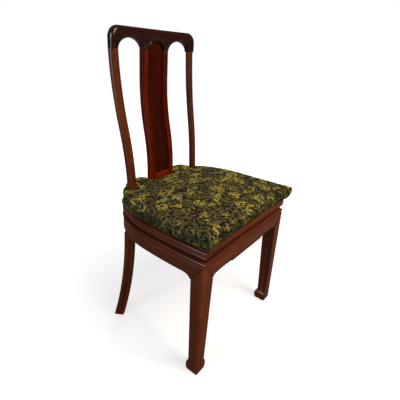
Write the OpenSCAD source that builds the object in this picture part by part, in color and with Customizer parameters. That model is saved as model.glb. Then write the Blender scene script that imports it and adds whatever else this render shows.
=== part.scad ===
// Side chair in the Chinese manner, in millimetres. A moulded, bow-sided seat frame stands on a
// recessed waist and shaped aprons. The front legs are square with hoof feet, the rear legs are
// sabre curved, and two bent posts and a framed splat carry the crest rail. A loose brocade
// cushion lies on the frame, notched round the posts and the splat.
// The chair faces -Y. While a piece is drawn, y = 0 is the front edge of the seat frame, and
// every node is then moved so that the origin is under the middle of the whole chair.

/* [Overall] */
// Height of the top of the crest rail above the floor
chair_h = 1005; // [970:5:1040]
// Height of the top of the seat frame above the floor
seat_h = 446; // [436:1:456]

/* [Seat plan] */
// Greatest width of the seat frame
seat_w = 503; // [470:1:530]
// Distance from the front edge back to the widest place
widest_y = 105; // [80:1:130]
// Radius of the bowed side
side_r = 1575; // [1200:5:2200]
// Direction that the side faces where the hip curve starts
side_turn = 5.3; // [3:0.1:8]
// Radius of the hip curve
hip_r = 300; // [260:5:340]
// Direction that the hip faces where the corner curve starts
hip_turn = 35; // [32:0.5:38]
// Radius of the rear corner
corner_r = 95; // [88:1:105]
// Direction that the corner faces where the rear curve starts
corner_turn = 80; // [78:0.5:82]

/* [Seat frame] */
// Width of a seat rail in plan
rail_w = 68; // [62:1:72]
// Thickness of a seat rail
rail_t = 24; // [22:1:28]
// Radius of the rounded upper edge of a seat rail
edge_r = 7; // [5:0.5:9]
// Radius of the bead along the lower edge of a seat rail
lip_r = 4; // [3:0.5:5]
// Thickness of the floating seat panel
panel_t = 10; // [8:0.5:12]
// Thickness of the tongue round the seat panel
tongue_t = 4.6; // [3:0.2:6]
// Length of the tongue round the seat panel
tongue_l = 5; // [3:0.5:7]
// Drop of the seat panel below the top of the rails
panel_drop = 2; // [1:0.5:3]
// Width of the batten under the seat panel
batten_w = 36; // [25:1:50]
// Depth of the batten under the seat panel
batten_t = 14; // [12:1:18]

/* [Waist and aprons] */
// Height of the recessed waist
waist_h = 13; // [10:1:16]
// Distance of the waist inside the edge of the seat frame
waist_in = 8; // [6:1:10]
// Distance of the apron face inside the edge of the seat frame
apron_in = 2; // [1:0.5:4]
// Thickness of an apron
apron_t = 20; // [17:1:22]
// Height of the bead along the top of an apron
bead_h = 12; // [10:1:14]
// Height of the front apron, from the waist down to its straight lower edge
apron_h = 63; // [58:1:70]
// Rise of the side and rear aprons' lower edge above that of the front
side_rise = 8; // [4:1:12]
// Distance from the middle to the cusp in the front apron
cusp_x = 97; // [80:1:115]
// Length of the slope at the cusp
cusp_l = 8; // [5:1:12]
// Rise of the front apron's shallow arch above its straight edge
arch_rise = 5; // [3:0.5:8]
// Depth of the spandrel where an apron meets a front leg
spandrel_h = 13; // [11:1:16]
// Length of the spandrel where an apron meets a front leg
spandrel_l = 27; // [20:1:34]

/* [Front legs] */
// Width of a front leg at the top
leg_w = 48.5; // [46:0.5:52]
// Width of a front leg at the ankle
ankle_w = 35.3; // [32:0.5:38]
// Height of the ankle above the floor
ankle_z = 40; // [34:1:46]
// Width of the hoof foot at its widest
hoof_w = 44; // [42:0.5:48]
// Width of the hoof foot on the floor
hoof_base_w = 38; // [36:0.5:42]
// Radius under the outer edges of the hoof
hoof_r = 4; // [2:0.5:6]

/* [Rear legs] */
// Depth of a rear leg along its curve's plane
rear_leg_d = 34; // [32:1:38]
// Width of a rear leg across its curve's plane
rear_leg_w = 30; // [26:1:34]
// Direction in plan that a rear leg sweeps, from sideways towards the back
sweep_dir = 56; // [48:1:62]
// Distance that a rear leg sweeps out to its foot
sweep = 43; // [36:1:50]
// Direction from the hip curve's centre to the rear leg
rear_leg_turn = 27; // [25:0.5:29]
// Distance that a rear leg stands proud of the apron
rear_leg_proud = 3; // [1:0.5:5]
// Radius of the edges of a rear leg
rear_leg_r = 5; // [3:0.5:8]

/* [Back] */
// Greater width of a back post's oval section, across the corner of the seat
post_d = 31; // [28:0.5:34]
// Lesser width of a back post's oval section
post_w = 26; // [23:0.5:28]
// Direction from the corner curve's centre to the back post
post_turn = 33; // [30:0.5:36]
// Direction in plan that a back post leans, outwards from straight back
post_splay = 16.5; // [13:0.5:20]
// Lean of a back post at the seat
post_foot_lean = 0.8; // [0.2:0.1:2]
// Greatest lean of a back post
post_mid_lean = 12.6; // [11.5:0.1:13.5]
// Lean of a back post at the crest rail
post_head_lean = 3; // [2:0.1:4]
// Height of a back post's greatest lean above the floor
post_mid_z = 700; // [680:5:720]
// Width of the splat
splat_w = 124; // [116:1:132]
// Thickness of a splat stile
stile_t = 22; // [20:0.5:24]
// Width of a splat stile
stile_w = 25; // [22:0.5:28]
// Radius of the outer edges of a splat stile
stile_r = 6; // [3:0.5:8]
// Thickness of the splat panel
splat_panel_t = 9; // [7:0.5:10]
// Height of the splat's bottom rail
splat_rail_h = 68; // [60:1:76]
// Greatest lean of the splat
splat_mid_lean = 13.5; // [12:0.1:14.5]
// Height above the floor where the splat starts to lean
splat_low_z = 508; // [500:2:516]
// Height above the floor of the splat's greatest lean
splat_mid_z = 672; // [660:2:684]
// Height above the floor where the splat is upright again
splat_high_z = 855; // [840:5:870]

/* [Crest rail] */
// Height of the crest rail
crest_h = 65; // [60:1:72]
// Thickness of the crest rail
crest_t = 29; // [27:0.5:34]
// Bow of the crest rail behind the line of the posts
crest_bow = 6; // [4:0.5:9]
// Overhang of the crest rail's round end beyond the heads of the posts
crest_over = 0.5; // [0:0.5:3]
// Width of the crest rail's rounded end
ear_w = 34; // [30:1:40]
// Height of the crest rail's rounded end
ear_h = 36; // [32:1:42]
// Height of the two open arches in the crest rail
arch_h = 33; // [28:0.5:36]
// Height of the arch over the splat panel
panel_arch_h = 28; // [24:0.5:32]

/* [Cushion] */
// Height of the cushion's seam above the seat frame
seam_h = 49; // [44:1:54]
// Height of the crown above the seam
crown_h = 10; // [7:0.5:14]
// Overhang of the cushion's seam at the sides
side_over = 13; // [9:0.5:16]
// Overhang of the cushion's seam at the front
front_over = 18; // [12:0.5:22]
// Distance of the cushion's seam inside the seat frame at the back
rear_under = 5; // [3:0.5:8]
// Direction that the seat's edge faces where the cushion's seam is fully drawn in at the back
ear_turn = 48; // [40:1:56]
// Width of the slit behind each post
slit_w = 14; // [10:1:20]
// Distance that the cushion's sides draw in from the seam to the base
draw_in = 21; // [16:0.5:26]
// Distance that the cushion's rear corners spread from the seam to the base
ear_spread = 4; // [0:0.5:6]
// Distance from the front edge back to the middle of the crown
crown_y = 205; // [180:5:230]
// Bulge of the cushion's sides beyond the seam
bulge = 1; // [0.5:0.5:2]
// Clearance of the notches round the posts and the splat
notch_gap = 5; // [4:0.5:7]
// Distance of the foam inside the seam
foam_in = 28; // [26:0.5:34]
// Distance of the foam from the notches
foam_gap = 8; // [6:0.5:12]
// Thickness of the foam
foam_t = 36; // [30:1:40]

/* [Joinery] */
// Clearance between jointed pieces
joint_gap = 0.1; // [0.05:0.05:0.2]
// Clearance of the cushion above the seat frame, and of the foam in its cover
soft_gap = 0.3; // [0.3:0.1:0.6]
// Length of a tenon
tenon_l = 11; // [9:0.5:12]
// Thickness of a tenon, and width of a square one
tenon_t = 10; // [8:0.5:11]
// Width of a broad tenon
tenon_w = 15; // [12:0.5:16]

/* [Hidden] */
wood = "#5a1f10";
dark_wood = "#3a140a";
red_wood = "#6a2410";
cloth = "#3c3a1a";
foam_white = "#e8dfc0";
// Facets of a full turn on the long, flat curves, and on a small round one
long_fn = 1440;
round_fn = 48;
// Margin by which a cutting body passes the face that it cuts
over = 30;
// Depth that a tenon's root reaches into its own piece
root = 1;
// Small steps of the profiles: above the rail's bead, the cove in the rail, how far the apron's
// bead stands proud of the frame's edge, and the quirk under that bead
lip_step = 1.5;
cove_in = 2;
bead_proud = 0.5;
quirk = 1;
// Inset of the leg's outer faces from the frame's front corner
leg_inset = 0.7;
// How far the control points of the small curves stand off their ends
pull = 2;
// Gap round the floating panel in the seat, and setback of the rails' upper lip
panel_gap = 0.5;
// Length of the tongue of the splat's panel in its grooves
groove_l = 4;
// Direction that the seat's edge faces at the joint of the side and rear rails
rail_joint_turn = 16;
// Middle of the cushion's crown, and how far its top is set in from the seam
crown_mid = [0, crown_y];
crown_in = 8;
// Sides of a post's section
post_sides = 20;

// Levels from the seat frame down
rail_z = seat_h - rail_t;
waist_z = rail_z - waist_h;
bead_z = waist_z - bead_h;
apron_z = waist_z - apron_h;
side_apron_z = apron_z + side_rise;
spandrel_z = apron_z + arch_rise - spandrel_h;
panel_z = seat_h - panel_drop - panel_t;
tongue_z = panel_z + (panel_t - tongue_t) / 2;

// Centres of the plan's curves, each tangent to the one before it
side_c = [seat_w / 2 - side_r, widest_y];
hip_c = side_c + (side_r - hip_r) * aim(side_turn);
corner_c = hip_c + (hip_r - corner_r) * aim(hip_turn);
rear_r = corner_r + corner_c.x / cos(corner_turn);
rear_c = [0, corner_c.y - (rear_r - corner_r) * sin(corner_turn)];
rear_y = rear_c.y + rear_r;
front_x = side_x(0, 0);
mitre_x = side_x(rail_w, rail_w);

// Front legs stand flush with the frame's front corners
leg_x = front_x - leg_inset;
leg_in_x = leg_x - leg_w;
core_in = apron_in + apron_t + joint_gap;

// Rear legs
rear_leg_p = hip_c + (hip_r - apron_in - rear_leg_d / 2 + rear_leg_proud) * aim(rear_leg_turn);
rear_core_p = hip_c + (hip_r - core_in - tenon_t / 2 - pull) * aim(rear_leg_turn);

// Back posts: foot on the rail's centre line, then two bends up to the crest rail
crest_z = chair_h - crest_h;
post_r = post_d / 2;
post_foot = corner_c + (corner_r - rail_w / 2) * aim(post_turn);
post_low_r = (post_mid_z - seat_h) / (sin(post_mid_lean) - sin(post_foot_lean));
post_high_r = (crest_z - post_mid_z) / (sin(post_mid_lean) - sin(post_head_lean));
post_mid_s = post_low_r * (cos(post_foot_lean) - cos(post_mid_lean));
post_head_s = post_mid_s + post_high_r * (cos(post_head_lean) - cos(post_mid_lean));
post_aim = aim(90 - post_splay);
post_head = post_foot + post_head_s * post_aim;

// Splat: its head stands in the middle of the crest rail, and its foot follows from its bends
splat_low_r = (splat_mid_z - splat_low_z) / sin(splat_mid_lean);
splat_high_r = (splat_high_z - splat_mid_z) / sin(splat_mid_lean);
splat_sweep = (splat_low_r + splat_high_r) * (1 - cos(splat_mid_lean));
crest_mid_y = post_head.y + crest_bow;
crest_r = (post_head.x ^ 2 + crest_bow ^ 2) / (2 * crest_bow);
splat_foot_y = crest_mid_y - splat_sweep;
splat_in = splat_w / 2 - stile_w;

// Crest rail
crest_half = post_head.x + crest_t / 2 + crest_over;

// The origin is under the middle of the chair, from the cushion's front to the crest's back
mid_y = (crest_mid_y + crest_t / 2 - front_over) / 2;

// Direction in plan, as a unit vector, at an angle from +X towards +Y
function aim(a) = [cos(a), sin(a)];

// Half width of the side curve, set in by inset, at depth y
function side_x(y, inset) = side_c.x + (side_r - inset) * cos(asin((y - widest_y) / (side_r - inset)));

// Points along an arc
function arc(c, r, from, to, n) = [for (i = [0:n]) c + r * aim(from + (to - from) * i / n)];

// Point on a quadratic curve through p0 and p2, pulled towards p1
function bend(p0, p1, p2, n) = [
    for (i = [0:n]) let (t = i / n) (1 - t) ^ 2 * p0 + 2 * t * (1 - t) * p1 + t ^ 2 * p2
];

// The same points on the other side of the chair, in the opposite order
function flipped(pts) = [for (i = [len(pts) - 1:-1:0]) [-pts[i].x, pts[i].y]];

// Outline of the seat plan, set in by inset, with the same steps as the rails
function seat_half(inset) = concat(
    arc(side_c, side_r - inset, asin((inset - widest_y) / (side_r - inset)), side_turn, 8),
    arc(hip_c, hip_r - inset, side_turn, rail_joint_turn, 5),
    arc(hip_c, hip_r - inset, rail_joint_turn, hip_turn, 4),
    arc(corner_c, corner_r - inset, hip_turn, corner_turn, 8),
    arc(rear_c, rear_r - inset, corner_turn, 90, 3)
);
function seat_outline(inset) = concat(seat_half(inset), flipped(seat_half(inset)));

// Solid through a row of closed sections that have equal numbers of points
module loft(rings) {
    m = len(rings[0]);
    n = len(rings);
    polyhedron(
        [for (ring = rings) each ring],
        concat(
            [[for (i = [0:m - 1]) i]],
            [[for (i = [m - 1:-1:0]) (n - 1) * m + i]],
            [for (k = [0:n - 2], i = [0:m - 1], half = [0, 1])
                let (a = k * m + i, b = k * m + (i + 1) % m, c = a + m, d = b + m)
                half == 0 ? [a, d, b] : [a, c, d]]
        ),
        convexity = 6
    );
}

// Stations along the seat plan: the centre and radius of the frame's edge and the direction that
// it faces
function stations(c, r, from, to, n) = [for (i = [0:n]) [c, r, from + (to - from) * i / n]];
function rest(list) = [for (i = [1:len(list) - 1]) list[i]];
function mirrored(list) = [
    for (i = [len(list) - 1:-1:0]) [[-list[i][0].x, list[i][0].y], list[i][1], 180 - list[i][2]]
];

// Runs of a profile along the seat plan. The profile's x is measured outwards from the frame's
// edge, and its y is the height, which stays above low at every depth.
module plan_run(path, profile, low = function (y) 0) {
    loft([for (s = path) [for (p = profile)
        let (q = s[0] + (s[1] + p.x) * aim(s[2])) [q.x, q.y, max(p.y, low(q.y))]]]);
}

module front_run(profile) {
    translate([-seat_w, 0, 0])
        rotate([90, 0, 90])
            linear_extrude(2 * seat_w)
                mirror([1, 0])
                    polygon(profile);
}

// A side run has further stations at the depths in list. What is passed to it as its children is
// cut away from it.
function depth_turn(y) = asin((y - widest_y) / side_r);

module side_run(joint_turn, profile, list = [], low = function (y) 0) {
    turns = concat([depth_turn(-over / 2)], [for (y = list) depth_turn(y)]);
    last = turns[len(turns) - 1];
    difference() {
        plan_run(concat(
            [for (turn = turns) [side_c, side_r, turn]],
            rest(stations(side_c, side_r, last, side_turn, 8)),
            rest(stations(hip_c, hip_r, side_turn, joint_turn, 5))
        ), profile, low);
        front_zone(joint_gap);
        children();
    }
}

module rear_run(joint_turn, profile) {
    gap_turn = joint_gap / hip_r * 180 / PI;
    half = concat(
        stations(hip_c, hip_r, joint_turn + gap_turn, hip_turn, 4),
        rest(stations(corner_c, corner_r, hip_turn, corner_turn, 8)),
        rest(stations(rear_c, rear_r, corner_turn, 90, 3))
    );
    plan_run(concat(half, rest(mirrored(half))), profile);
}

// Room in front of the mitre planes at the two front corners
module front_zone(gap) {
    slope = (front_x - mitre_x) / rail_w;
    back_y = rail_w + over;
    wide = front_x + slope * over + gap;
    narrow = front_x - slope * back_y + gap;
    linear_extrude(seat_h + over)
        polygon([[-wide, -over], [wide, -over], [narrow, back_y], [-narrow, back_y]]);
}

// Drawing in the front view, run through the whole chair
module front_view() {
    translate([0, 2 * seat_w, 0]) rotate([90, 0, 0]) linear_extrude(4 * seat_w) children();
}

// Profiles
rail_profile = concat(
    [[-rail_w, rail_z], [-rail_w, tongue_z - joint_gap],
     [-rail_w + tongue_l + joint_gap, tongue_z - joint_gap],
     [-rail_w + tongue_l + joint_gap, tongue_z + tongue_t + joint_gap],
     [panel_gap - rail_w, tongue_z + tongue_t + joint_gap], [panel_gap - rail_w, seat_h]],
    [for (a = [90:-30:0]) [-edge_r, seat_h - edge_r] + edge_r * aim(a)],
    [[0, rail_z + 2 * lip_r + lip_step], [-cove_in, rail_z + 2 * lip_r]],
    [for (a = [60:-40:-80]) [-lip_r, rail_z + lip_r] + lip_r * aim(a)],
    [[-lip_r, rail_z]]
);

waist_profile = [
    [-apron_in - apron_t, waist_z + joint_gap], [-apron_in - apron_t, rail_z - joint_gap],
    [-waist_in, rail_z - joint_gap], [-waist_in, waist_z + joint_gap]
];

function apron_profile(low) = let (
    r = bead_h / 2,
    bead = arc([bead_proud - r, bead_z + r], r, 90, -70, 4)
) concat(
    [bead[4], [-apron_in, bead_z - quirk], [-apron_in, low]],
    [[-apron_in - apron_t, low], [-apron_in - apron_t, waist_z]],
    [for (i = [0:3]) bead[i]]
);

// Area that the front apron keeps in the front view
module front_apron_view() {
    arch_x = leg_in_x - spandrel_l;
    arch_z = apron_z + arch_rise;
    half = concat(
        [[0, apron_z], [cusp_x - cusp_l, apron_z]],
        bend([cusp_x, apron_z + arch_rise / 3], [(cusp_x + arch_x) / 2, arch_z + 2 * pull],
             [arch_x, arch_z], 6),
        bend([arch_x, arch_z], [leg_in_x - pull, arch_z - pull],
             [leg_in_x, spandrel_z + joint_gap], 6),
        [[leg_x, bead_z + joint_gap], [leg_x + over, bead_z + over], [leg_x + over, seat_h],
         [0, seat_h]]
    );
    polygon(concat(half, flipped(half)));
}

// Depths where a side apron's lower edge turns, and its height at a depth: along the mitre, then
// round the spandrel, then straight
spandrel_rise = side_apron_z - spandrel_z;
mitre_y = 2 * quirk * leg_w / (bead_z - spandrel_z);
spandrel_ys = concat([mitre_y], [for (a = [0:15:90]) leg_w + spandrel_l * (1 - cos(a))]);
function side_apron_low(y) = y < leg_w
    ? min(bead_z - 2 * quirk, bead_z + joint_gap - (bead_z - spandrel_z) * y / leg_w)
    : spandrel_z + spandrel_rise * sqrt(1 - (1 - min(1, (y - leg_w) / spandrel_l)) ^ 2);

// Tenons across a level, drawn with a gap of 0 on the piece and of joint_gap where they are cut
// out of what holds them
module tenon(p, turn, w, level, up, gap) {
    low = level - (up ? root : tenon_l) - gap;
    high = level + (up ? tenon_l : root) + gap;
    translate([p.x, p.y, low])
        rotate(turn)
            translate([-w / 2 - gap, -tenon_t / 2 - gap, 0])
                cube([w + 2 * gap, tenon_t + 2 * gap, high - low]);
}

module leg_tenon(gap) {
    core = (core_in + leg_w) / 2;
    tenon([leg_x - core, core], 0, tenon_t, rail_z, true, gap);
}

module rear_leg_tenon(gap) {
    tenon(rear_core_p, rear_leg_turn + 90, tenon_w, rail_z, true, gap);
}

module post_foot_tenon(gap) {
    tenon(post_foot, post_turn, tenon_w, seat_h, false, gap);
}

module post_head_tenon(gap) {
    tenon(post_head, 0, tenon_t, crest_z, true, gap);
}

module stile_foot_tenon(gap) {
    tenon([(splat_w - stile_w) / 2, splat_foot_y], 0, tenon_w, seat_h, false, gap);
}

module stile_head_tenon(gap) {
    tenon([(splat_w - stile_w) / 2, crest_mid_y], 0, tenon_t, crest_z, true, gap);
}

// Front leg. Both views have the same outline: straight outside, tapered inside, with a hoof.
module leg_view() {
    top = rail_z - joint_gap;
    polygon(concat(
        [[0, top], [0, hoof_r]],
        bend([0, hoof_r], [0, 0], [hoof_r, 0], 4),
        bend([hoof_base_w, 0], [hoof_w, ankle_z / 5], [hoof_w, ankle_z / 2], 6),
        bend([hoof_w, ankle_z / 2], [hoof_w, ankle_z - 2 * pull], [ankle_w, ankle_z], 6),
        [[leg_w, bead_z], [leg_w, top]]
    ));
}

module mitre_cut() {
    slope = (bead_z - spandrel_z) / leg_w;
    polygon([[-over, bead_z + slope * over], [leg_w + over, spandrel_z - slope * over],
             [leg_w + over, seat_h + over], [-over, seat_h + over]]);
}

module front_leg() {
    color(wood) {
        difference() {
            intersection() {
                translate([leg_x, leg_w + over, 0]) mirror([1, 0, 0])
                    rotate([90, 0, 0]) linear_extrude(leg_w + 2 * over) leg_view();
                rotate([90, 0, 90]) linear_extrude(seat_w) leg_view();
            }
            translate([leg_x, core_in, 0]) mirror([1, 0, 0])
                rotate([90, 0, 0]) linear_extrude(core_in + over) mitre_cut();
            translate([leg_x - core_in, 0, 0])
                rotate([90, 0, 90]) linear_extrude(core_in + over) mitre_cut();
        }
        leg_tenon(0);
    }
}

// Outline of a rectangle with rounded corners
function rounded(d, w, r, n) = [
    for (corner = [[1, 1, 0], [-1, 1, 90], [-1, -1, 180], [1, -1, 270]], i = [0:n])
        [corner[0] * (d / 2 - r), corner[1] * (w / 2 - r)] + r * aim(corner[2] + 90 * i / n)
];

// Level slice of a leaning piece: its section is moved by s towards x and drawn out by its lean
function slice(section, s, lean, z) = [for (p = section) [s + p.x / cos(lean), p.y, z]];

// Rear leg: an upright head behind the apron, then one long bend out to the foot
module rear_leg() {
    bend_r = (apron_z ^ 2 + sweep ^ 2) / (2 * sweep);
    section = rounded(rear_leg_d, rear_leg_w, rear_leg_r, 2);
    steps = 14;
    color(wood) {
        difference() {
            translate([rear_leg_p.x, rear_leg_p.y, 0]) rotate(sweep_dir)
                loft(concat(
                    [for (i = [0:steps]) let (z = apron_z * i / steps, lean = asin((apron_z - z) / bend_r))
                        slice(section, bend_r * (1 - cos(lean)), lean, z)],
                    [slice(section, 0, 0, rail_z - joint_gap)]
                ));
            plan_run(concat(
                stations(hip_c, hip_r, side_turn, hip_turn, 10),
                rest(stations(corner_c, corner_r, hip_turn, corner_turn, 6))
            ), [[-core_in, side_apron_z - joint_gap], [-core_in, seat_h], [over, seat_h],
                [over, side_apron_z - joint_gap]]);
        }
        rear_leg_tenon(0);
    }
}

// A back post's travel and lean at a height
function post_lean(z) = z < post_mid_z
    ? asin(sin(post_foot_lean) + (z - seat_h) / post_low_r)
    : asin(sin(post_mid_lean) - (z - post_mid_z) / post_high_r);
function post_s(z) = z < post_mid_z
    ? post_low_r * (cos(post_foot_lean) - cos(post_lean(z)))
    : post_mid_s + post_high_r * (cos(post_lean(z)) - cos(post_mid_lean));

module back_post() {
    steps = 20;
    low = seat_h + joint_gap;
    turn = post_turn + post_splay - 90;
    section = [for (i = [0:post_sides - 1])
        let (a = 360 * i / post_sides, p = [post_r * cos(a), post_w / 2 * sin(a)])
        [p.x * cos(turn) - p.y * sin(turn), p.x * sin(turn) + p.y * cos(turn)]];
    color(wood) {
        translate([post_foot.x, post_foot.y, 0]) rotate(90 - post_splay)
            loft([for (i = [0:steps]) let (z = low + (crest_z - joint_gap - low) * i / steps)
                slice(section, post_s(z), post_lean(z), z)]);
        post_foot_tenon(0);
        post_head_tenon(0);
    }
}

// The splat's travel and lean at a height: upright, two bends, upright
function splat_lean(z) = z < splat_mid_z
    ? asin(max(0, z - splat_low_z) / splat_low_r)
    : asin(max(0, splat_high_z - z) / splat_high_r);
function splat_s(z) = z < splat_mid_z
    ? splat_low_r * (1 - cos(splat_lean(z)))
    : splat_sweep - splat_high_r * (1 - cos(splat_lean(z)));

// The section's x is its depth, and its y is across the splat
module splat_run(z0, z1, section) {
    steps = 18;
    translate([0, splat_foot_y, 0]) rotate(90)
        loft([for (i = [0:steps]) let (z = z0 + (z1 - z0) * i / steps)
            slice(section, splat_s(z), splat_lean(z), z)]);
}

module splat_stile() {
    d = stile_t / 2;
    in = -splat_in;
    out = -splat_w / 2;
    groove = splat_panel_t / 2 + joint_gap;
    deep = in - groove_l - joint_gap;
    color(red_wood) {
        splat_run(seat_h + joint_gap, crest_z - joint_gap, concat(
            [[-groove, deep], [-groove, in], [-d, in]],
            [for (a = [180:30:270]) [stile_r - d, out + stile_r] + stile_r * aim(a)],
            [for (a = [270:30:360]) [d - stile_r, out + stile_r] + stile_r * aim(a)],
            [[d, in], [groove, in], [groove, deep]]
        ));
        stile_foot_tenon(0);
        stile_head_tenon(0);
    }
}

// The rail stands below the splat's bends, so it is straight
module splat_bottom_rail() {
    half = splat_in - joint_gap;
    groove = splat_panel_t / 2 + 2 * joint_gap;
    low = seat_h + joint_gap;
    top = seat_h + splat_rail_h;
    d = stile_t / 2 - quirk;
    color(red_wood)
        translate([-half, splat_foot_y, 0]) rotate([90, 0, 90]) linear_extrude(2 * half)
            polygon([[-d, low], [d, low], [d, top - pull], [groove + quirk, top + pull],
                     [groove, top + pull], [groove, top - groove_l], [-groove, top - groove_l],
                     [-groove, top + pull], [-groove - quirk, top + pull], [-d, top - pull]]);
}

// Front view of the splat panel and of the arch over it, grown by a margin
module panel_view(grow, low) {
    half = splat_in + grow;
    high = panel_arch_h + grow;
    polygon(concat(
        [[-half, low], [half, low]],
        [for (a = [0:10:180]) [half * cos(a), crest_z + high * sin(a)]]
    ));
}

module splat_panel() {
    foot_z = seat_h + splat_rail_h - groove_l + joint_gap;
    head_z = crest_z + panel_arch_h + groove_l;
    color(wood)
        intersection() {
            splat_run(foot_z - root, head_z + root, rounded(splat_panel_t, 2 * (splat_in + groove_l), quirk, 1));
            front_view() panel_view(groove_l - joint_gap, foot_z);
        }
}

// Crest rail, drawn in the front view, bowed in plan, with round ends and a rounded top edge
module crest_view() {
    ear_x = crest_half - ear_w;
    ear_z = chair_h - ear_h;
    side_low = splat_w / 2;
    side_high = post_head.x - post_r;
    side_mid = (side_low + side_high) / 2;
    half = concat([[crest_half, crest_z]],
        [for (a = [0:9:90]) [ear_x + ear_w * cos(a), ear_z + ear_h * sin(a)]]);
    difference() {
        polygon(concat(half, flipped(half)));
        for (side = [-1, 1])
            polygon([for (a = [0:10:180])
                [side * side_mid + (side_high - side_low) / 2 * cos(a), crest_z + arch_h * sin(a)]]);
        panel_view(0, crest_z - 1);
    }
}

module crest_rail() {
    end_p = [crest_half - crest_t / 2, post_head.y];
    half_turn = asin(end_p.x / crest_r);
    top_r = crest_t / 3;
    section = [for (p = rounded(crest_t, 2 * crest_h, top_r, 3)) [crest_r + p.x, p.y]];
    color(dark_wood)
        difference() {
            intersection() {
                front_view() crest_view();
                union() {
                    translate([0, crest_mid_y - crest_r, chair_h - crest_h]) rotate(90 - half_turn)
                        rotate_extrude(angle = 2 * half_turn, $fn = long_fn) polygon(section);
                    for (side = [-1, 1]) translate([side * end_p.x, end_p.y, crest_z - 1])
                        cylinder(h = crest_h + 2, d = crest_t, $fn = round_fn);
                }
            }
            for (side = [0, 1]) mirror([side, 0, 0]) {
                post_head_tenon(joint_gap);
                stile_head_tenon(joint_gap);
            }
            translate([0, crest_mid_y + splat_panel_t / 2 + joint_gap, 0]) rotate([90, 0, 0])
                linear_extrude(splat_panel_t + 2 * joint_gap) panel_view(groove_l, crest_z - 1);
        }
}

// Seat rails
module rail_mortises() {
    for (side = [0, 1]) mirror([side, 0, 0]) {
        leg_tenon(joint_gap);
        rear_leg_tenon(joint_gap);
        post_foot_tenon(joint_gap);
        stile_foot_tenon(joint_gap);
    }
    batten_body(joint_gap);
}

module seat_rail_front() {
    color(wood) difference() {
        intersection() {
            front_run(rail_profile);
            front_zone(0);
        }
        rail_mortises();
    }
}

module seat_rail_side() {
    color(wood)
        side_run(rail_joint_turn, rail_profile)
            rail_mortises();
}

module seat_rail_rear() {
    color(wood) difference() {
        rear_run(rail_joint_turn, rail_profile);
        rail_mortises();
    }
}

module seat_panel() {
    color(red_wood) {
        translate([0, 0, panel_z]) linear_extrude(panel_t) polygon(seat_outline(rail_w + panel_gap));
        translate([0, 0, tongue_z]) linear_extrude(tongue_t)
            polygon(seat_outline(rail_w - tongue_l + joint_gap));
    }
}

module batten_body(gap) {
    translate([-batten_w / 2 - gap, rail_w - tenon_l - gap, panel_z - joint_gap - batten_t - gap])
        cube([batten_w + 2 * gap, rear_y - 2 * rail_w + 2 * tenon_l + 2 * gap, batten_t + gap]);
}

module seat_batten() {
    color(red_wood) batten_body(0);
}

// Waist and aprons
module waist_front() {
    color(dark_wood) intersection() {
        front_run(waist_profile);
        front_zone(0);
    }
}

module waist_side() {
    color(dark_wood) side_run(rear_leg_turn, waist_profile);
}

module waist_rear() {
    color(dark_wood) rear_run(rear_leg_turn, waist_profile);
}

module apron_front() {
    color(wood) intersection() {
        front_run(apron_profile(spandrel_z - over / 4));
        front_zone(0);
        front_view() front_apron_view();
    }
}

module apron_side() {
    color(wood)
        side_run(rear_leg_turn, apron_profile(0), spandrel_ys, function (y) side_apron_low(y));
}

module apron_rear() {
    color(wood) rear_run(rear_leg_turn, apron_profile(side_apron_z));
}

// Cushion. Its seam follows the seat plan, outside it at the front and the sides and inside it
// at the back. Draw is the share of the sides' whole draw-in, and off is a further step outwards.
function share(turn, from, to) = min(1, max(0, (turn - from) / (to - from)));

function seam_off(turn, draw) = side_over - draw * draw_in
    - (side_over + rear_under) * share(turn, side_turn, ear_turn)
    + draw * (draw_in + ear_spread) * share(turn, side_turn, hip_turn);

function seam_arc(c, r, from, to, n, draw, off) = [
    for (i = [0:n - 1]) let (turn = from + (to - from) * i / n)
        c + (r + seam_off(turn, draw) + off) * aim(turn)
];

function seam_half(draw, off, fine) = let (
    wide_r = side_r + side_over - draw * draw_in + off,
    start = asin((-front_over + draw * draw_in - off - widest_y) / wide_r),
    tip = side_c + wide_r * aim(start)
) concat(
    [for (i = [0:2 * fine - 1]) [tip.x * i / (2 * fine), tip.y]],
    seam_arc(side_c, side_r, start, side_turn, 2 * fine, draw, off),
    seam_arc(hip_c, hip_r, side_turn, hip_turn, 2 * fine, draw, off),
    seam_arc(corner_c, corner_r, hip_turn, corner_turn, 2 * fine, draw, off),
    seam_arc(rear_c, rear_r, corner_turn, 90, fine, draw, off),
    [[0, rear_y + seam_off(90, draw) + off]]
);
function seam_outline(draw, off, fine) = let (
    half = seam_half(draw, off, fine),
    last = len(half) - 1
) concat(half, [for (i = [last - 1:-1:1]) [-half[i].x, half[i].y]]);

// Each level is its draw, its step outwards, its height above the frame, and the share of the
// outline that it keeps about the middle of the crown
cushion_levels = [
    [1, -crown_in, soft_gap, 1],
    [1, 0, 0.04 * seam_h, 1],
    [0.5, 0, 0.18 * seam_h, 1],
    [0.18, 0, 0.38 * seam_h, 1],
    [0, 0, 0.62 * seam_h, 1],
    [0, bulge, 0.84 * seam_h, 1],
    [0, 0, seam_h, 1],
    [0, -crown_in / 2, seam_h + 0.3 * crown_h, 1],
    [0, -crown_in, seam_h + 0.52 * crown_h, 0.94],
    [0, -crown_in, seam_h + 0.75 * crown_h, 0.78],
    [0, -crown_in, seam_h + 0.92 * crown_h, 0.5],
    [0, -crown_in, seam_h + crown_h, 0.22]
];

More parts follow.
